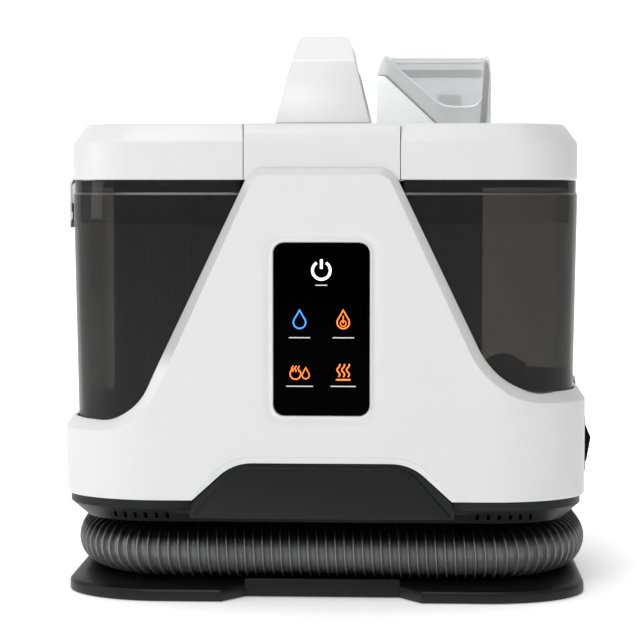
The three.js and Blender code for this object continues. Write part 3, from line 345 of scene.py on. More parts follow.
def refine(node, look, width, segments=3, angle=34, smooth=38):
    """A finer twin of a CAD node with its edges rounded."""
    source = frame["nodes"][node]
    mesh = source.data.copy()
    mesh.materials.clear()
    mesh.materials.append(look)
    made = bpy.data.objects.new(node + "_fine", mesh)
    bpy.context.scene.collection.objects.link(made)
    weld = made.modifiers.new("weld", "WELD")
    weld.merge_threshold = 0.00002
    flat = made.modifiers.new("flat", "DECIMATE")
    flat.decimate_type = "DISSOLVE"
    flat.angle_limit = math.radians(1.5)
    if width:
        bevel = made.modifiers.new("bevel", "BEVEL")
        bevel.width = width * MM
        bevel.segments = segments
        bevel.limit_method = "ANGLE"
        bevel.angle_limit = math.radians(angle)
        bevel.miter_outer = "MITER_ARC"
    bpy.context.view_layer.update()
    graph = bpy.context.evaluated_depsgraph_get()
    final = bpy.data.meshes.new_from_object(made.evaluated_get(graph))
    made.modifiers.clear()
    made.data = final
    final.shade_smooth()
    final.set_sharp_from_angle(angle=math.radians(smooth))
    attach(made, source["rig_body"])
    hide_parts(node)
    return made


# ------------------------------------------------ sizes shared with the frame, in millimetres
low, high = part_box("front_shell")
TRIM = 1.3  # the skin ends this far inside the CAD shell at each side
HALF = high.x / MM - TRIM
FRONT = low.y / MM
SHELL_Z0 = low.z / MM
APEX = high.z / MM
CORNER_X, CORNER_Y = 65, 48
RIM_LEFT, RIM_RIGHT = 114.3, 133.4
ARCH_HALF, ARCH_Z = 51.2, 261.9
LEAN = math.tan(math.radians(25.6))
SEAM = 49.5


def arch_x(z):
    """Half the width of the arch at height z."""
    return ARCH_HALF + (ARCH_Z - z) * LEAN


# ------------------------------------------------ front shell, drawn flat and rolled round the plan
def plan_track():
    """The front half of the plan as a track from the left end to the right end."""
    points = [(-HALF, 0.0)]
    points += [(-HALF, -y) for y in np.linspace(8, -FRONT - CORNER_Y, 8)]
    quarter_turn = np.linspace(0, math.pi / 2, 40)[1:]
    points += [
        (-HALF + CORNER_X * (1 - math.cos(t)), FRONT + CORNER_Y * (1 - math.sin(t))) for t in quarter_turn
    ]
    right = [(-x, y) for x, y in reversed(points)]
    return np.array(points + right)


TRACK = plan_track()
TRACK_S = np.concatenate([[0], np.cumsum(np.hypot(*np.diff(TRACK, axis=0).T))])
TRACK_S -= TRACK_S[-1] / 2
S_END = TRACK_S[-1]


def along(x):
    """Track length at a given x; the straight sides map to their front ends."""
    return float(np.interp(x, TRACK[:, 0] + np.arange(len(TRACK)) * 1e-6, TRACK_S))


def roll(s, z, depth):
    """Takes a point drawn at (track, z), that deep under the face, onto the plan."""
    x = float(np.interp(s, TRACK_S, TRACK[:, 0]))
    y = float(np.interp(s, TRACK_S, TRACK[:, 1]))
    ahead = np.array([np.interp(s + 1, TRACK_S, TRACK[:, k]) for k in (0, 1)])
    behind = np.array([np.interp(s - 1, TRACK_S, TRACK[:, k]) for k in (0, 1)])
    t = ahead - behind
    t /= max(1e-9, np.hypot(*t))
    return (x - t[1] * depth, y + t[0] * depth, z)


def spread(a, b, step):
    """Points from a towards b, b left out, no further apart than step."""
    count = max(1, int(math.ceil(math.dist(a, b) / step)))
    return [tuple(a[k] + (b[k] - a[k]) * i / count for k in range(len(a))) for i in range(count)]


def front_outline():
    """The shell's outline in (track, z), counter-clockwise, each point with its bevel width."""
    foot, shoulder, lip_z, turn = 82.7, 56.2, 88.5, 31
    rim_bevel, slope_bevel, apex_bevel, lip_bevel, foot_bevel, end_bevel = 6.8, 6.0, 4.6, 3.9, 1.2, 0.9
    far, over, collar_z = 200, S_END + 7, 140
    trapezoid = rounded(
        [(-foot, SHELL_Z0), (-shoulder, lip_z, turn), (shoulder, lip_z, turn), (foot, SHELL_Z0)], 12
    )
    arch = rounded(
        [
            (far, 0),
            (far, RIM_RIGHT),
            (arch_x(RIM_RIGHT), RIM_RIGHT, 50),
            (arch_x(APEX), APEX, 14.5),
            (-arch_x(APEX), APEX, 14.5),
            (-arch_x(RIM_LEFT), RIM_LEFT, 39),
            (-far, RIM_LEFT),
            (-far, 0),
        ],
        14,
    )[2:-2]
    feet = (0, len(trapezoid) - 1)
    corners = [(-over, SHELL_Z0, rim_bevel), (-S_END + 0.5, SHELL_Z0, end_bevel)]
    corners += [(x, z, foot_bevel if i in feet else lip_bevel) for i, (x, z) in enumerate(trapezoid)]
    corners += [(S_END - 0.5, SHELL_Z0, end_bevel)]
    corners += [(over, SHELL_Z0, rim_bevel), (over, RIM_RIGHT, rim_bevel)]
    for x, z in arch:
        width = rim_bevel if z < collar_z else slope_bevel
        if z > APEX - 9:
            width = apex_bevel
        corners.append((along(x), z, width))
    corners.append((-over, RIM_LEFT, rim_bevel))
    loop = []
    for i, a in enumerate(corners):
        loop += spread(a, corners[(i + 1) % len(corners)], 4.0)
    return loop


def window_outline(grow):
    """The glass in (x, z), grown all round."""
    lo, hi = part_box("panel_glass")
    x, z0, z1 = hi.x / MM + grow, lo.z / MM - grow, hi.z / MM + grow
    turn = 6.5 + grow
    return rounded([(-x, z0, turn), (x, z0, turn), (x, z1, turn), (-x, z1, turn)], 8)


def inside(point, loop):
    x, y = point
    hit = False
    for i in range(len(loop)):
        (x0, y0), (x1, y1) = loop[i - 1], loop[i]
        if (y0 > y) != (y1 > y) and x < (x1 - x0) * (y - y0) / (y1 - y0) + x0:
            hit = not hit
    return hit


def fill(outer, holes, step):
    """Triangles between an outer outline and its holes, with inner points so that it can bend."""
    points = [Vector(p) for p in outer]
    edges = [(i, (i + 1) % len(outer)) for i in range(len(outer))]
    for hole in holes:
        base = len(points)
        points += [Vector(p) for p in hole]
        edges += [(base + i, base + (i + 1) % len(hole)) for i in range(len(hole))]
    rim = np.array([tuple(p) for p in points])
    xs = np.arange(rim[:, 0].min(), rim[:, 0].max(), step)
    zs = np.arange(rim[:, 1].min(), rim[:, 1].max(), step * 1.6)
    for x in xs:
        for z in zs:
            if np.min(np.hypot(rim[:, 0] - x, rim[:, 1] - z)) < step * 0.55 or not inside((x, z), outer):
                continue
            if not any(inside((x, z), hole) for hole in holes):
                points.append(Vector((x, z)))
    verts, _, faces, *_ = delaunay_2d_cdt(points, edges, [], 0, 1e-5)
    kept = []
    for face in faces:
        middle = sum((verts[i] for i in face), Vector((0, 0))) / len(face)
        if inside(middle, outer) and not any(inside(middle, hole) for hole in holes):
            kept.append(tuple(face))
    return [tuple(v) for v in verts], kept


LIP_TOP = 95
FULL_BEVEL, SOFT_BEVEL = 6, 16


def bevel_rings(flat, width):
    """Rings from the wall's back to its face, as (track, z, depth); shallower round the trapezoid."""
    profile = [(0, 7.0), (0, 4.7), (0.03, 4.45), (0.95, 0.22), (1.0, 0.04), (1.06, 0.0), (1.3, 0.0)]
    rings = []
    for share, depth in profile:
        ring = []
        for (s, z), w in zip(offset(flat, [w * share for w in width]), width):
            full = FULL_BEVEL if z > LIP_TOP else SOFT_BEVEL
            ring.append((s, z, depth if depth > FULL_BEVEL else depth * min(1, w / full)))
        rings.append(ring)
    return rings


def window_rings():
    """The hollow frame round the glass, as (growth of the outline, depth)."""
    steps = [(0.25, 2.4), (0.3, 0.5), (0.75, 0.06), (1.3, 0.0), (1.9, 0.1)]
    steps += [(2.4, 0.75), (3.4, 0.8), (5.2, 0.25), (7.0, 0.02), (8.0, 0.0)]
    return [[(s, z, depth) for s, z in window_outline(grow)] for grow, depth in steps]


def shade_bevel(thing, flat):
    """Darkens the bevel where the photograph does: its slopes, its apex and round the trapezoid."""
    slope_from, fade, foot, foot_gap, line_ring = 150, 12, 83, 1.5, 4
    apex_from, apex_fade, apex_tone, right_tone = APEX - 16, 8, 0.45, 0.3
    # The "edge" values are painted shade: the left slope darkest, the right one less, the apex, and a thin
    # line round the trapezoid.
    tone = thing.data.attributes.new("edge", "FLOAT", "POINT")
    for i, (s, z) in enumerate(flat):
        on_line = abs(s) < foot and SHELL_Z0 + foot_gap < z < LIP_TOP
        tone.data[line_ring * len(flat) + i].value = float(on_line)
        on_slope = np.clip((z - slope_from) / fade, 0, 1)
        at_top = np.clip((z - apex_from) / apex_fade, 0, 1)
        side_tone = on_slope if s < 0 else right_tone * np.clip((z - LIP_TOP) / fade, 0, 1)
        for ring in (1, 2, 3):
            tone.data[ring * len(flat) + i].value = side_tone * (1 - at_top) + apex_tone * at_top


def front_shell():
    loop = front_outline()
    flat = [(s, z) for s, z, _ in loop]
    rings = bevel_rings(flat, [w for _, _, w in loop])
    window = window_rings()
    verts, faces = [], []

    def strip(loops, inwards):
        n = len(loops[0])
        base = len(verts)
        for ring in loops:
            verts.extend(ring)
        for k in range(len(loops) - 1):
            for i in range(n):
                j = (i + 1) % n
                quad = [base + k * n + i, base + k * n + j, base + (k + 1) * n + j, base + (k + 1) * n + i]
                faces.append(tuple(quad if inwards else reversed(quad)))

    strip(rings, True)
    strip(window, False)
    inner = [(s, z) for s, z, _ in rings[-1]]
    hole = [(s, z) for s, z, _ in window[-1]]
    points, triangles = fill(inner, [hole], 7.0)
    base = len(verts)
    verts.extend((s, z, 0.0) for s, z in points)
    for tri in triangles:
        a, b, c = (points[i] for i in tri[:3])
        turn = (b[0] - a[0]) * (c[1] - a[1]) - (b[1] - a[1]) * (c[0] - a[0])
        order = tri if turn > 0 else tuple(reversed(tri))
        faces.append(tuple(base + i for i in order))
    rolled = [roll(max(-S_END, min(S_END, s)), z, d) for s, z, d in verts]
    made = show(
        "front_shell_skin", rolled, faces, SHELL_WHITE, "machine", ["front_shell"], sharp=50
    )
    shade_bevel(made, flat)


front_shell()

# ------------------------------------------------ lids, deck and handle
LID_Z0, LID_SHOULDER, LID_TOP = 268.3, 291.7, 304.0
LID_FRONT, LID_REAR = -117.6, 48
LID_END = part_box("clean_lid")[1].x / MM


def lid(side, x0, x1, radii, slopes):
    """Box lid: an upright wall, then a long soft bevel, whose runs at x0, x1, front and back are slopes."""
    z0, shoulder, top = LID_Z0, LID_SHOULDER, LID_TOP

    def ring(run, z, shrink=0.0):
        edge = [s * run for s in slopes]
        return at_height(
            rect(
                x0 + edge[0] + shrink,
                x1 - edge[1] - shrink,
                LID_FRONT + edge[2] + shrink,
                LID_REAR - edge[3] - shrink,
                [max(0.8, r - max(slopes) * run * 0.6 - shrink) for r in radii],
            ),
            z,
        )

    loops = [ring(0, z0 + 6, 3.0), ring(0, z0, 3.0), ring(0, z0, 0.5), ring(0, z0 + 0.5), ring(0, z0 + 2)]
    loops += [ring(0, shoulder - 2), ring(0.02, shoulder - 0.4), ring(0.06, shoulder + 0.9)]
    loops += [ring(0.88, top - 1.6), ring(0.97, top - 0.6), ring(1.15, top - 0.08)]
    loops += [ring(1.4, top), ring(1.9, top)]
    verts, faces = loft(loops, cap_first=False)
    show(side + "_lid_skin", verts, faces, WHITE, side + "_lid", [side + "_lid"], sharp=50)


lid("clean", SEAM + 0.2, LID_END, (1, 42, 10, 1), (0.7, 9, 6, 5))
lid("dirty", -LID_END, -SEAM - 0.2, (42, 1, 1, 10), (9, 0.7, 6, 5))
refine("top_deck", WHITE, 0.0)
handle = refine("carry_handle", WHITE, 0.7, 2)


def flatten_shoulder(thing, corner, foot, along_top, radius):
    """Cuts a rounded shoulder, seen in (y, z), to the flat between its tangent points, and gives the flat a
    lighter, faintly glowing copy of the white: a painted highlight.
    """
    leg = (Vector(foot) - Vector(corner)).normalized()
    top = Vector((along_top, 0))
    reach = radius / math.tan(leg.angle(top) / 2)
    a = Vector(corner) + leg * reach
    out = (Vector(corner) - (a + Vector(corner) + top * reach) / 2).normalized()
    for vertex in thing.data.vertices:
        past = (Vector((vertex.co.y, vertex.co.z)) / MM - a).dot(out)
        if past > 0:
            vertex.co.y -= out.x * past * MM
            vertex.co.z -= out.y * past * MM
    thing.data.update()
    for face in thing.data.polygons:
        if face.normal.dot((0, out.x, out.y)) > 0.97:
            face.material_index = 1


lo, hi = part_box("carry_handle")
SHOULDER_R, FRONT_LEAN, REAR_LEAN = 26, 20, 16
handle.data.materials.append(SHOULDER_WHITE_PAINTED_LIGHT)
flatten_shoulder(handle, (lo.y / MM + FRONT_LEAN, hi.z / MM), (lo.y / MM, lo.z / MM), 1, SHOULDER_R)
flatten_shoulder(handle, (hi.y / MM - REAR_LEAN, hi.z / MM), (hi.y / MM, lo.z / MM), -1, SHOULDER_R)
handle.data.set_sharp_from_angle(angle=math.radians(34))

# ------------------------------------------------ tanks
def tank(node, side):
    """See-through tank with a wall thickness, a slight draft and a ledge. side is 1 right, -1 left."""
    z0, z1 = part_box(node)[0].z / MM, 268.0
    wall, draft = 2.2, 2.5
    front, rear, corner = -114.7, 43.5, 42
    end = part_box("clean_tank")[1].x / MM

    def ring(inset, z):
        grow = draft * (z - z0) / (z1 - z0)
        a, b = SEAM + draft + 0.7 + inset - grow, end - draft - inset + grow
        y0, y1 = front + inset - grow, rear - inset + grow
        r = (4, corner - inset, 10 - inset, 4)
        if side > 0:
            return at_height(rect(a, b, y0, y1, r, 12), z)
        return at_height(rect(-b, -a, y0, y1, (r[1], r[0], r[3], r[2]), 12), z)

    outer = [ring(6, z0), ring(2.2, z0 + 0.9), ring(0.6, z0 + 3), ring(0, z0 + 7)]
    outer += [ring(0, z) for z in (130, 170, 210, 240, 258.6)]
    ledge = len(outer) - 1
    outer += [ring(0.9, 260.1), ring(1.0, 260.5), ring(1.0, z1 - 0.6), ring(1.4, z1)]
    inner = [ring(wall - 0.4, z1), ring(wall, z1 - 0.6)]
    inner += [ring(wall, z) for z in (240, 210, 170, 130)]
    inner += [ring(wall, z0 + 9), ring(wall + 1, z0 + 5), ring(wall + 4, z0 + 3), ring(wall + 8, z0 + wall)]
    verts, faces = loft(outer + inner)
    made = show(node + "_skin", verts, faces, SMOKE, node, [node])
    made.data.materials.append(SMOKE_EDGE)
    count = len(outer[0])
    for face in made.data.polygons[ledge * count : (ledge + 1) * count]:
        face.material_index = 1


tank("clean_tank", 1)
tank("dirty_tank", -1)

# ------------------------------------------------ lower housing, base plate, service panel
CHAMFER_LOW, CHAMFER_HIGH, CHAMFER_KEPT = 45.9, 58.8, 0.77
TAPER_FROM, TAPER_RUN, TAPER_IN = 120, 50, 3.6
housing = refine("lower_housing", CHARCOAL, 0.0, smooth=30)
for vertex in housing.data.vertices:
    x, _, z = vertex.co / MM
    if CHAMFER_LOW < z < CHAMFER_HIGH:
        vertex.co.z = MM * (CHAMFER_HIGH - (CHAMFER_HIGH - z) * CHAMFER_KEPT)
    vertex.co.x -= math.copysign(MM * TAPER_IN * min(1, max(0, (abs(x) - TAPER_FROM) / TAPER_RUN)), x)


def base_plate():
    """Plate with two front lobes and, across the recess between them, a lip that holds the hose."""
    lo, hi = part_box("base_plate")
    trim_left, trim_right, lip_rise = 3.8, 1.6, 3.6
    left, right = lo.x / MM + trim_left, hi.x / MM - trim_right
    front, z0, z1 = lo.y / MM, lo.z / MM, hi.z / MM - lip_rise
    rear = hi.y / MM
    inner = front + 18
    corners = [
        (left, front, CORNER_Y, CORNER_X),
        (-63.5, front, 2.5),
        (-48.5, inner, 2.5),
        (48.5, inner, 2.5),
        (63.5, front, 2.5),
        (right, front, CORNER_X, CORNER_Y),
        (right, rear, 42),
        (left, rear, 42),
    ]
    plan = rounded(corners, 20)
    edge = [(0.8, z0), (0.2, z0 + 0.2), (0, z0 + 0.7), (0, z1 - 2.4)]
    edge += [(0.35, z1 - 1.2), (1.2, z1 - 0.35), (2.2, z1)]
    verts, faces = loft([at_height(offset(plan, d), z) for d, z in edge])
    made = show("base_skin", verts, faces, BLACK, "machine", ["base_plate"])
    made.data.materials.append(CHARCOAL)
    # Top faces black, walls charcoal: the black top is painted shade, the body's shadow on the base.
    for face in made.data.polygons:
        face.material_index = int(face.normal.z < 0.8)
    lip = [(-50.5, inner - 1.2), (50.5, inner - 1.2), (48.5, inner + 3), (-48.5, inner + 3)]
    wall = rounded([(x, y, 0.8) for x, y in lip], 4)
    loops = [at_height(wall, z0 + 0.3)]
    for d, z in ((0, z1 + 3.1), (0.2, z1 + 3.45), (0.7, z1 + lip_rise)):
        loops.append(at_height(offset(wall, d), z))
    verts, faces = loft(loops)
    show("base_lip", verts, faces, CHARCOAL, "machine")


base_plate()

lo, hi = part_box("service_panel")
right_half = [(84.3, 52.5, 2), (84.3, 62, 2), (55.6, 88.2, 31)]
left_half = [(-x, z, radius) for x, z, radius in reversed(right_half)]
PANEL_BACK = rounded(left_half[-1:] + right_half + left_half[:-1], 12)
PANEL_FACE = rounded([(-83.6, 52.9, 1.5), (83.6, 52.9, 1.5), (54.8, 86.0, 24), (-54.8, 86.0, 24)], 12)
RIM_Y = (lo.y / MM + 1.7, hi.y / MM)
plate("service_panel_rim", PANEL_BACK, *RIM_Y, 0.4, DEEP, "machine", "charcoal", ["service_panel"])
plate("service_panel_skin", PANEL_FACE, lo.y / MM, lo.y / MM + 2, 0.9, CHARCOAL, "machine", "charcoal")

# ------------------------------------------------ touch panel and its generic marks
lo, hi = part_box("panel_glass")
GLASS_Y = lo.y / MM
GLASS = window_outline(0)
plate("panel_glass_skin", GLASS, GLASS_Y, hi.y / MM, 0.5, PANEL, "machine", "glass_panel", ["panel_glass"])


def ink(name, outline, look, hole=None):
    """A printed mark on the glass: a thin flat shape, with an optional hole of the same point count."""
    back_y, front_y = GLASS_Y + 0.02, GLASS_Y - 0.03
    loops = [[(x, y, z) for x, z in outline] for y in (back_y, front_y)]
    if hole is not None:
        loops += [[(x, y, z) for x, z in hole] for y in (front_y, back_y)]
    verts, faces = loft(loops, cap_first=False, cap_last=hole is None)
    show(name, verts, faces, look, "machine", sharp=20)


def arc(cx, cz, r, a0, a1, count):
    """Points round (cx, cz), from a0 to a1 in degrees."""
    turns = [math.radians(a0 + (a1 - a0) * k / count) for k in range(count + 1)]
    return [(cx + r * math.cos(t), cz + r * math.sin(t)) for t in turns]


def drop(cx, cz, width, height, grow=0.0):
    """Water drop: round foot and a pointed head."""
    r = width / 2 + grow
    head = height - width / 2 + grow * 1.9
    reach = math.degrees(math.acos(min(0.99, r / head)))
    points = arc(cx, cz, r, 90 + reach, 450 - reach, 26)
    return points + [(cx, cz + head)]


def stroke(points, width):
    """Outline of a line of that width along the points."""
    left, right = [], []
    for i, p in enumerate(points):
        a, b = Vector(points[max(0, i - 1)]), Vector(points[min(len(points) - 1, i + 1)])
        d = (b - a).normalized() * width / 2
        left.append((p[0] - d.y, p[1] + d.x))
        right.append((p[0] + d.y, p[1] - d.x))
    return right + left[::-1]


def marks():
    """Power, cold drop, hot drop, steam and heat signs, each with a plain bar where a label would be."""
    x_off, z_power, z_drop, z_mode = 13.8, 211.3, 178.5, 146.6
    ink("power_ring", stroke(arc(0, z_power, 5.6, 122, 418, 40), 1.7), ICON_WHITE)
    ink("power_bar", stroke([(0, z_power + 1.0), (0, z_power + 7.0)], 1.7), ICON_WHITE)
    for side, look in ((-1, ICON_BLUE), (1, ICON_ORANGE)):
        cx = side * x_off
        ink(f"drop_{side}", drop(cx, z_drop, 8.6, 12.8), look, drop(cx, z_drop, 8.6, 12.8, -0.85))
    ring, hole = (arc(x_off, z_drop - 0.6, r, 0, 342, 19) for r in (2.1, 1.5))
    ink("drop_dot", ring, ICON_ORANGE, hole)
    ink("drop_stem", stroke([(x_off, z_drop - 0.6), (x_off, z_drop + 4.2)], 0.7), ICON_ORANGE)
    cx = -x_off
    ring, hole = (drop(cx + 3.9, z_mode - 1.6, 5.2, 8.0, grow) for grow in (0, -0.7))
    ink("steam_drop_a", ring, ICON_ORANGE, hole)
    cloud = arc(cx - 2.6, z_mode - 0.8, 3.4, 100, 395, 24)
    ink("steam_cloud", stroke(cloud, 0.8), ICON_ORANGE)
    for k in range(3):
        x = cx - 4.6 + k * 2.0
        wave = [(x + 0.5 * math.sin(t * 2.2), z_mode + 0.6 + t) for t in np.linspace(0, 3.8, 10)]
        ink(f"steam_wave_{k}", stroke(wave, 0.7), ICON_ORANGE)
    for k in range(3):
        x = x_off - 3.0 + k * 3.0
        wave = [(x + 0.9 * math.sin(t * 1.05), z_mode - 2.6 + t) for t in np.linspace(0, 8.2, 16)]
        ink(f"heat_wave_{k}", stroke(wave, 0.9), ICON_ORANGE)
    ink("heat_bar", stroke([(x_off - 4.6, z_mode - 4.4), (x_off + 4.6, z_mode - 4.4)], 1.0), ICON_ORANGE)
    for name, cx, z, width in (
        ("power", 0, 202.0, 7.5),
        ("low", -x_off, 168.8, 13.5),
        ("high", x_off, 168.8, 13.5),
        ("steam", -x_off, 138.0, 17.0),
        ("heat", x_off, 138.0, 16.0),
    ):
        ink("tag_" + name, stroke([(cx - width / 2, z), (cx + width / 2, z)], 0.7), ICON_GREY)


marks()

# ------------------------------------------------ ribbed hose
def smooth_path(points, step):
    """Even points along a Catmull-Rom curve through the given ones."""
    p = np.array([points[0]] + list(points) + [points[-1]], float)
    fine = []
    for i in range(1, len(p) - 2):
        for t in np.linspace(0, 1, 24, endpoint=False):
            a, b, c, d = p[i - 1], p[i], p[i + 1], p[i + 2]
            second, third = 2 * a - 5 * b + 4 * c - d, 3 * b - a - 3 * c + d
            fine.append(0.5 * (2 * b + (c - a) * t + second * t**2 + third * t**3))
    fine.append(p[-1])
    fine = np.array(fine)
    run = np.concatenate([[0], np.cumsum(np.linalg.norm(np.diff(fine, axis=0), axis=1))])
    even = np.linspace(0, run[-1], int(run[-1] / step) + 1)
    return np.array([[np.interp(s, run, fine[:, k]) for k in range(3)] for s in even]), run[-1]


HOSE_Z, HOSE_X, HOSE_Y, HOSE_BEND, HOSE_R = 25.6, 157.4, 81.0, 62.0, 17.5
HOSE_LEFT = 4.0  # the left end lies this much further in than the right one


def bend(x, y, start):
    """A quarter turn of the hose round (x, y)."""
    turns = [start + i * math.pi / 6 for i in range(4)]
    return [(x + HOSE_BEND * math.cos(t), y + HOSE_BEND * math.sin(t), HOSE_Z) for t in turns]


def hose_route(top):
    """Out of the elbow, once round the waist, and up the rear right corner to the cuff."""
    cx, cy = HOSE_X - HOSE_BEND, HOSE_Y - HOSE_BEND
    points = [(-20.3, HOSE_Y, HOSE_Z), (-56, HOSE_Y, HOSE_Z)]
    points += bend(HOSE_LEFT - cx, cy, math.pi / 2) + bend(HOSE_LEFT - cx, -cy, math.pi)
    points += [(-40, -HOSE_Y, HOSE_Z), (40, -HOSE_Y, HOSE_Z)]
    points += bend(cx, -cy, 1.5 * math.pi)
    points += [
        (HOSE_X, 16, HOSE_Z),
        (155, 44, HOSE_Z + 0.2),
        (146, 68, HOSE_Z + 0.5),
        (130, 86, HOSE_Z + 3),
        (111, 96, HOSE_Z + 12),
        (96, 100, HOSE_Z + 31),
        (88, 100, HOSE_Z + 56),
        (85, 100, 104),
        (85, 100, top - 0.3),
    ]
    return points


RIB_PITCH, HOSE_SIDES = 5.9, 28
# One turn of the rib as (share of the pitch, depth under the rib's crown).
RIB = [(0.0, 0.0), (0.07, 0.1), (0.11, 1.9), (0.2, 2.6), (0.5, 1.7), (0.83, 2.5), (0.93, 1.9), (0.96, 0.1)]


def frames_along(line):
    """For each point of the line, a direction across it and one up from it, without twist."""
    frames = []
    side = np.cross(line[1] - line[0], [0, 0, 1.0])
    for i in range(len(line)):
        t = line[min(i + 1, len(line) - 1)] - line[max(i - 1, 0)]
        t /= np.linalg.norm(t)
        side = side - t * np.dot(side, t)
        side /= np.linalg.norm(side)
        frames.append(np.concatenate([side, np.cross(side, t)]))
    return np.array(frames)


def helix_points(line, length, rows):
    """Points of the helical skin, row by row, and how far each one is in the shadow of the housing."""
    turns = len(line) - 1
    run = np.arange(turns + 1) * length / turns
    frames = frames_along(line)
    angles = np.linspace(0, 2 * math.pi, HOSE_SIDES, endpoint=False)
    end_fade, clear_z, fade_z = 2, 60, 20
    verts, shade = [], []
    for k in range(rows):
        share, depth = RIB[k % len(RIB)]
        at = (k // len(RIB) + share - angles / (2 * math.pi)) * length / turns
        at = np.clip(at, 0, length)
        middle = np.array([np.interp(at, run, line[:, c]) for c in range(3)])
        arms = np.array([np.interp(at, run, frames[:, c]) for c in range(6)])
        across = arms[:3] / np.linalg.norm(arms[:3], axis=0)
        up = arms[3:] / np.linalg.norm(arms[3:], axis=0)
        r = HOSE_R - depth * np.clip(np.minimum(at, length - at) / end_fade, 0, 1)
        ring = middle + r * (np.cos(angles) * across + np.sin(angles) * up)
        verts += [tuple(MM * c for c in p) for p in ring.T]
        # Painted shadow of the housing: rows under it darken on their upper side.
        under = np.clip((clear_z - middle[2]) / fade_z, 0, 1)
        dark_from = 0.34 if depth > 1 else 0.5
        shade += list(under * np.clip((np.sin(angles) - dark_from) / 0.14, 0, 1))
    return verts, shade


def helix_faces(rows):
    """Quads between the rows. The last side joins each row to the first side of the row one turn back."""
    n = HOSE_SIDES
    faces = []
    for k in range(rows - 1):
        for i in range(n):
            a, b = k * n + i, (k + 1) * n + i
            if i < n - 1:
                faces.append((a, a + 1, b + 1, b))
            else:
                back = max(0, k - len(RIB)) * n, max(0, k + 1 - len(RIB)) * n
                faces.append((a, back[0], back[1], b))
    faces.append(tuple(reversed(range(n))))
    faces.append(tuple(range((rows - 1) * n, rows * n)))
    return faces


def hose():
    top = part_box("tool_cuff")[0].z / MM
    points = hose_route(top)
    line, length = smooth_path(points, RIB_PITCH)
    rows = len(line) * len(RIB)
    verts, shade = helix_points(line, length, rows)
    mesh = bpy.data.meshes.new("hose_ribs")
    mesh.from_pydata(verts, [], helix_faces(rows))
    mesh.materials.append(HOSE_SKIN)
    mesh.materials.append(HOSE_RIB_PAINTED_LIGHT)
    # Faces on the fins' crests take the lighter copy: painted light on the fins.
    on_rib = [a[1] < 1 and b[1] < 1 for a, b in zip(RIB, RIB[1:] + RIB[:1])]
    for k, face in enumerate(mesh.polygons):
        face.material_index = int(on_rib[k // HOSE_SIDES % len(RIB)])
    # The shade goes into "edge", which darkens both hose materials: painted shadow of the housing.
    mesh.attributes.new("edge", "FLOAT", "POINT").data.foreach_set("value", shade)
    cleaned = bmesh.new()
    cleaned.from_mesh(mesh)
    bmesh.ops.remove_doubles(cleaned, verts=cleaned.verts, dist=1e-6)
    bmesh.ops.recalc_face_normals(cleaned, faces=cleaned.faces)
    cleaned.to_mesh(mesh)
    cleaned.free()
    mesh.shade_smooth()
    mesh.set_sharp_from_angle(angle=math.radians(48))
    made = bpy.data.objects.new("hose_ribs", mesh)
    bpy.context.scene.collection.objects.link(made)
    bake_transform(made)
    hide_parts("hose")


hose()

# ------------------------------------------------ scoop of the hand tool
lo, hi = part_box("tool_nozzle")
NOZZLE_X0, NOZZLE_X1 = lo.x / MM + 1.0, hi.x / MM
NOZZLE_Y0, NOZZLE_Y1 = lo.y / MM, hi.y / MM
NOZZLE_Z0, NOZZLE_Z1 = lo.z / MM, hi.z / MM
NECK_R, MOUTH_R, MOUTH_Z0 = 15, 9, 308
NECK_X, NECK_Y = (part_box("tool_wand")[0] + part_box("tool_wand")[1]).to_2d() / (2 * MM)
SCOOP_WALL, SCOOP_FLOOR = 2.5, 1.6


def scoop_loop(inset, wide):
    """From the round neck (wide 0) to the oblong mouth (wide 1)."""
    radii = [MOUTH_R - inset] * 4
    box = rect(NOZZLE_X0 + inset, NOZZLE_X1 - inset, NOZZLE_Y0 + inset, NOZZLE_Y1 - inset, radii, 8)
    loop = []
    for i, a in enumerate(box):
        for x, y in spread(a, box[(i + 1) % len(box)], 1.6):
            d = Vector((x - NECK_X, y - NECK_Y)).normalized() * (NECK_R - inset)
            neck_x, neck_y = NECK_X + d.x, NECK_Y + d.y
            loop.append((neck_x + (x - neck_x) * wide, neck_y + (y - neck_y) * wide))
    return loop


def rim_height(x, y):
    """Height of the mouth's rim: dished along the front wall, level elsewhere but for the right corner."""
    x0, z1 = NOZZLE_X0, NOZZLE_Z1
    rim = [(x0, z1), (x0 + 4.5, z1), (x0 + 44, 325.5), (x0 + 49, 322.6), (x0 + 56, 321.6), (x0 + 68, 321.6)]
    rim += [(x0 + 73, 323), (x0 + 76.5, 327), (x0 + 79, 335), (x0 + 81.5, z1 - 3), (NOZZLE_X1, z1 - 1)]
    if y < NECK_Y - 6:
        return float(np.interp(x, *zip(*rim)))
    return z1 - max(0, 1 - (y - NOZZLE_Y0) / 12) if x > NECK_X else z1


def tuck(x, y, z):
    """Draws the sides in towards the top of the mouth."""
    near_top = max(0.0, (z - NOZZLE_Z1 + 17) / 17)
    most = 0.115 if x < NECK_X else 0.075
    return (NECK_X + (x - NECK_X) * (1 - most * near_top**2), y, z)


def even_out(loop):
    """The same loop with evenly spaced points."""
    count = 180
    points = np.array(loop + [loop[0]])
    run = np.concatenate([[0], np.cumsum(np.linalg.norm(np.diff(points[:, :2], axis=0), axis=1))])
    at = np.linspace(0, run[-1], count + 1)[:-1]
    return [tuple(np.interp(a, run, points[:, k]) for k in range(3)) for a in at]


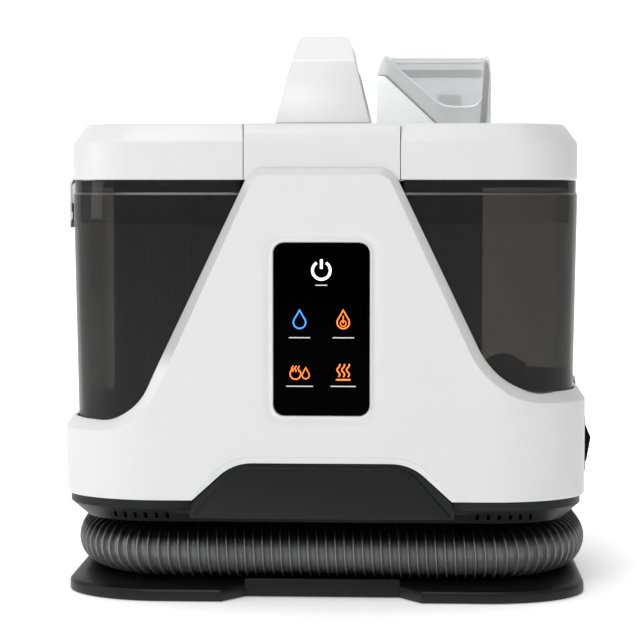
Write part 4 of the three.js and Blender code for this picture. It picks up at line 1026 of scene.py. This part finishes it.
def scoop_wall(inset, drop):
    """Loops up one face of the wall: the widening neck, then the mouth up to its rim."""
    loops = []
    for share in (0, 0.12, 0.35, 0.65, 0.88):
        z = NOZZLE_Z0 + (MOUTH_Z0 - NOZZLE_Z0) * share**0.8 + drop
        loops.append(at_height(scoop_loop(inset, share), z))
    for share in (0, 0.2, 0.45, 0.7, 0.9, 0.975):
        ring = []
        for x, y in scoop_loop(inset, 1):
            z = MOUTH_Z0 + drop * (1 - share) + (rim_height(x, y) - MOUTH_Z0) * share
            ring.append(tuck(x, y, z))
        loops.append(ring)
    return [even_out(loop) for loop in loops]


def scoop():
    outer, inner = scoop_wall(0, 0), scoop_wall(SCOOP_WALL, SCOOP_FLOOR)
    lip = []
    for share, rise in ((0.1, 0.8), (0.3, 1.2), (0.7, 1.2), (0.9, 0.8)):
        ring = [tuple(a[k] + (b[k] - a[k]) * share for k in range(3)) for a, b in zip(outer[-1], inner[-1])]
        lip.append([(x, y, min(z + rise, NOZZLE_Z1)) for x, y, z in ring])
    verts, faces = loft(outer + lip + inner[::-1])
    made = show("tool_nozzle_skin", verts, faces, FROST, "hand_tool", ["tool_nozzle"], sharp=60)
    # The lip's faces take the bright edge white: a painted highlight along the rim.
    made.data.materials.append(FROST_EDGE_HIGHLIGHT)
    count = len(outer[0])
    for face in made.data.polygons[(len(outer) - 1) * count : (len(outer) + len(lip)) * count]:
        face.material_index = 1


def nozzle_details():
    """Strips on the scoop: on the front wall, painted shade of the right inner fold and a painted shadow
    line under the cover's edge; inside the rear wall, a bright rib, a painted highlight, and the spray slot
    as a grey strip whose darkness is painted shade.
    """
    x0, x1, y0, y1, z1 = NOZZLE_X0, NOZZLE_X1, NOZZLE_Y0, NOZZLE_Y1, NOZZLE_Z1
    # Painted shade: a grey strip where the scoop's right inner fold is in shade.
    fold_shade = [(106.4, 305), (110.6, 305), (113.4, 346), (112.2, 352), (109.8, 355.5)]
    plate("nozzle_fold_painted_shade", fold_shade, y0 - 0.5, y0 + 0.6, 0.3, PAINTED_SHADE_GREY, "hand_tool", "clear")
    # A rib in the bright edge white: the second line of the rim's painted highlight.
    rib = [(x0 + 9, z1 - 4.4), (x1 - 6, z1 - 4.4), (x1 - 6, z1 - 3.5), (x0 + 9, z1 - 3.5)]
    plate("nozzle_rib", rib, y1 - 3.4, y1 - 2.2, 0.2, FROST_EDGE_HIGHLIGHT, "hand_tool", "clear")
    # Painted shadow: a grey line where the cover's edge shades the front wall.
    cover_shadow_line = [(78.0, 305.6), (80.4, 305.6), (39.0, 344.6), (36.8, 345.0), (33.0, 345.0), (33.0, 344.0)]
    cover_shadow_line += [(36.8, 343.6)]
    plate("cover_painted_shadow", cover_shadow_line, y0 - 0.2, y0 + 0.5, 0.1, GREY, "hand_tool", "clear")
    # The spray slot as a grey strip; its darkness is painted shade.
    slot = rect(x0 + 16, x1 - 5.5, 344.4, 350.4, [1] * 4, 3)
    plate("nozzle_slot", slot, y1 - 2.4, y1 - 1.0, 0.2, PAINTED_SHADE_GREY, "hand_tool", "clear")


scoop()
nozzle_details()

# ------------------------------------------------ other CAD pieces, refined or with a new look
LOOKS = {
    "white_shell": WHITE,
    "charcoal": CHARCOAL,
    "black": BLACK,
    "rubber": RUBBER,
    "steel": STEEL,
    "alloy": ALLOY,
    "board": BOARD,
    "glass_panel": PANEL,
    "smoke_tank": SMOKE,
    "clear": CLEAR,
    "grey": GREY,
    "hose_grey": HOSE_SKIN,
}
OWN_LOOK = {"suction_duct": DUCT, "spray_tip": FROST}
SLOT_OF = {part["node"]: part["material_slot"] for part in frame["record"]["subparts"]}
COVER_MIDDLE, COVER_OUT_RIGHT, COVER_IN_LEFT = 33.5, 3.2, 1.3
# The cover takes the whitened, glowing white: painted light.
cover = refine("tool_cover", COVER_WHITE_PAINTED_LIGHT, 0.6, 2)
for vertex in cover.data.vertices:
    vertex.co.x += MM * (COVER_OUT_RIGHT if vertex.co.x > MM * COVER_MIDDLE else COVER_IN_LEFT)
refine("tool_wand", WHITE, 0.8, 2)
refine("tool_cuff", GREY, 0.8, 2)
LATCH_FACE, LATCH_THINNER = -170.5, 1.4
latch = refine("lid_latch", LATCH_GREY, 0.5, 2)
for vertex in latch.data.vertices:
    if vertex.co.x < MM * LATCH_FACE:
        vertex.co.x += MM * LATCH_THINNER


def latch_details():
    """A stiffening pad behind the clip and finger ribs on its face."""

    def stack(outline, steps):
        return loft([[(x, y, z) for y, z in offset(outline, d)] for x, d in steps])

    pad = rounded([(-54.5, 252.4, 2), (-17.5, 252.4, 2), (-17.5, 266.5, 2), (-54.5, 266.5, 2)], 5)
    verts, faces = stack(pad, ((-165.3, 1), (-165.8, 0.3), (-166.5, 0), (-170, 0)))
    show("latch_pad", verts, faces, LATCH_GREY, "lid_latch")
    for k in range(5):
        z = 242.6 + 3.2 * k
        bar = rounded([(-51, z, 0.7), (-21, z, 0.7), (-21, z + 1.5, 0.7), (-51, z + 1.5, 0.7)], 4)
        verts, faces = stack(bar, ((-170.6, 0), (-171.2, 0), (-171.5, 0.25), (-171.6, 0.5)))
        show(f"latch_rib_{k}", verts, faces, LATCH_GREY, "lid_latch")


latch_details()
refine("rocker_switch", BLACK, 0.8, 2)
refine("switch_bezel", BLACK, 0.5, 2)
rear = refine("rear_shell", WHITE, 1.0, 3, angle=50)
for vertex in rear.data.vertices:
    vertex.co.x *= HALF / (HALF + TRIM)
refine("tool_cradle", CHARCOAL, 1.2, 3)
refine("cord_gland", RUBBER, 0.6, 2)
refine("hose_elbow", CHARCOAL, 0.6, 2)
refine("fill_cap", CHARCOAL, 0.6, 2)
refine("rear_housing", DEEP, 0.0)
for node, thing in frame["nodes"].items():
    if thing.hide_render:
        continue
    thing.data.materials.clear()
    thing.data.materials.append(OWN_LOOK.get(node) or LOOKS[SLOT_OF[node]])
    thing.data.shade_smooth()
    thing.data.set_sharp_from_angle(angle=math.radians(32))

# ------------------------------------------------ studio
def floor():
    """Floor with a swept back. The camera sees it glow, more so away from the object."""
    made, nodes, links, shader = material("studio_floor")
    slow = noise(nodes, 2.0, 2)
    colour = tinted(nodes, links, slow.outputs["Fac"], (0.93, 0.93, 0.93), 0.004)
    links.new(colour, shader.inputs["Base Color"])
    shader.inputs["Roughness"].default_value = 0.6
    shader.inputs["Specular IOR Level"].default_value = 0.2
    shader.inputs["Emission Color"].default_value = (1, 1, 1, 1)
    sight = nodes.new("ShaderNodeLightPath")
    spot = nodes.new("ShaderNodeVectorMath")
    spot.operation = "LENGTH"
    links.new(slow.inputs["Vector"].links[0].from_socket, spot.inputs[0])
    near, far, near_glow, far_glow, glow_as_light = 0.14, 0.45, 0.27, 0.88, 0.52
    seen = ramp(nodes, links, spot.outputs["Value"], near, far, near_glow, far_glow)
    glow = ramp(nodes, links, sight.outputs["Is Camera Ray"], 0.0, 1.0, glow_as_light, far_glow)
    links.new(seen, glow.node.inputs["To Max"])
    links.new(glow, shader.inputs["Emission Strength"])
    sweep_y, sweep_r = 3.0, 1.5
    turns = np.linspace(0, math.pi / 2, 14)
    sweep = [(sweep_y + sweep_r * math.sin(t), sweep_r - sweep_r * math.cos(t)) for t in turns]
    track = [(-6, 0.0)] + sweep + [(sweep_y + sweep_r, 8)]
    verts = [(x, y, z) for y, z in track for x in (-8, 8)]
    faces = [(2 * i, 2 * i + 1, 2 * i + 3, 2 * i + 2) for i in range(len(track) - 1)]
    mesh = bpy.data.meshes.new("studio_floor")
    mesh.from_pydata(verts, [], faces)
    mesh.shade_smooth()
    mesh.materials.append(made)
    thing = bpy.data.objects.new("studio_floor", mesh)
    bpy.context.scene.collection.objects.link(thing)


def lamp(name, at, aim, size, power):
    data = bpy.data.lights.new(name, "AREA")
    data.shape = "RECTANGLE"
    data.size = size
    data.size_y = size
    data.energy = power
    made = bpy.data.objects.new(name, data)
    made.location = at
    made.rotation_euler = (Vector(aim) - Vector(at)).to_track_quat("-Z", "Y").to_euler()
    bpy.context.scene.collection.objects.link(made)


floor()
world = bpy.data.worlds.new("studio")
world.use_nodes = True
backdrop = world.node_tree.nodes["Background"]
backdrop.inputs["Color"].default_value = (1, 1, 1, 1)
nodes, links = world.node_tree.nodes, world.node_tree.links
sight = nodes.new("ShaderNodeLightPath")
strength = ramp(nodes, links, sight.outputs["Is Camera Ray"], 0.0, 1.0, 0.22, 1.0)
links.new(strength, backdrop.inputs["Strength"])
bpy.context.scene.world = world
lamp("key", (-0.5, -1.65, 1.9), (0, 0, 0.15), 0.8, 19)
lamp("left", (-2.2, -0.7, 0.8), (0, 0, 0.2), 1.0, 10)
lamp("top", (-0.2, -0.3, 2.2), (0, 0, 0.3), 1.2, 13.5)
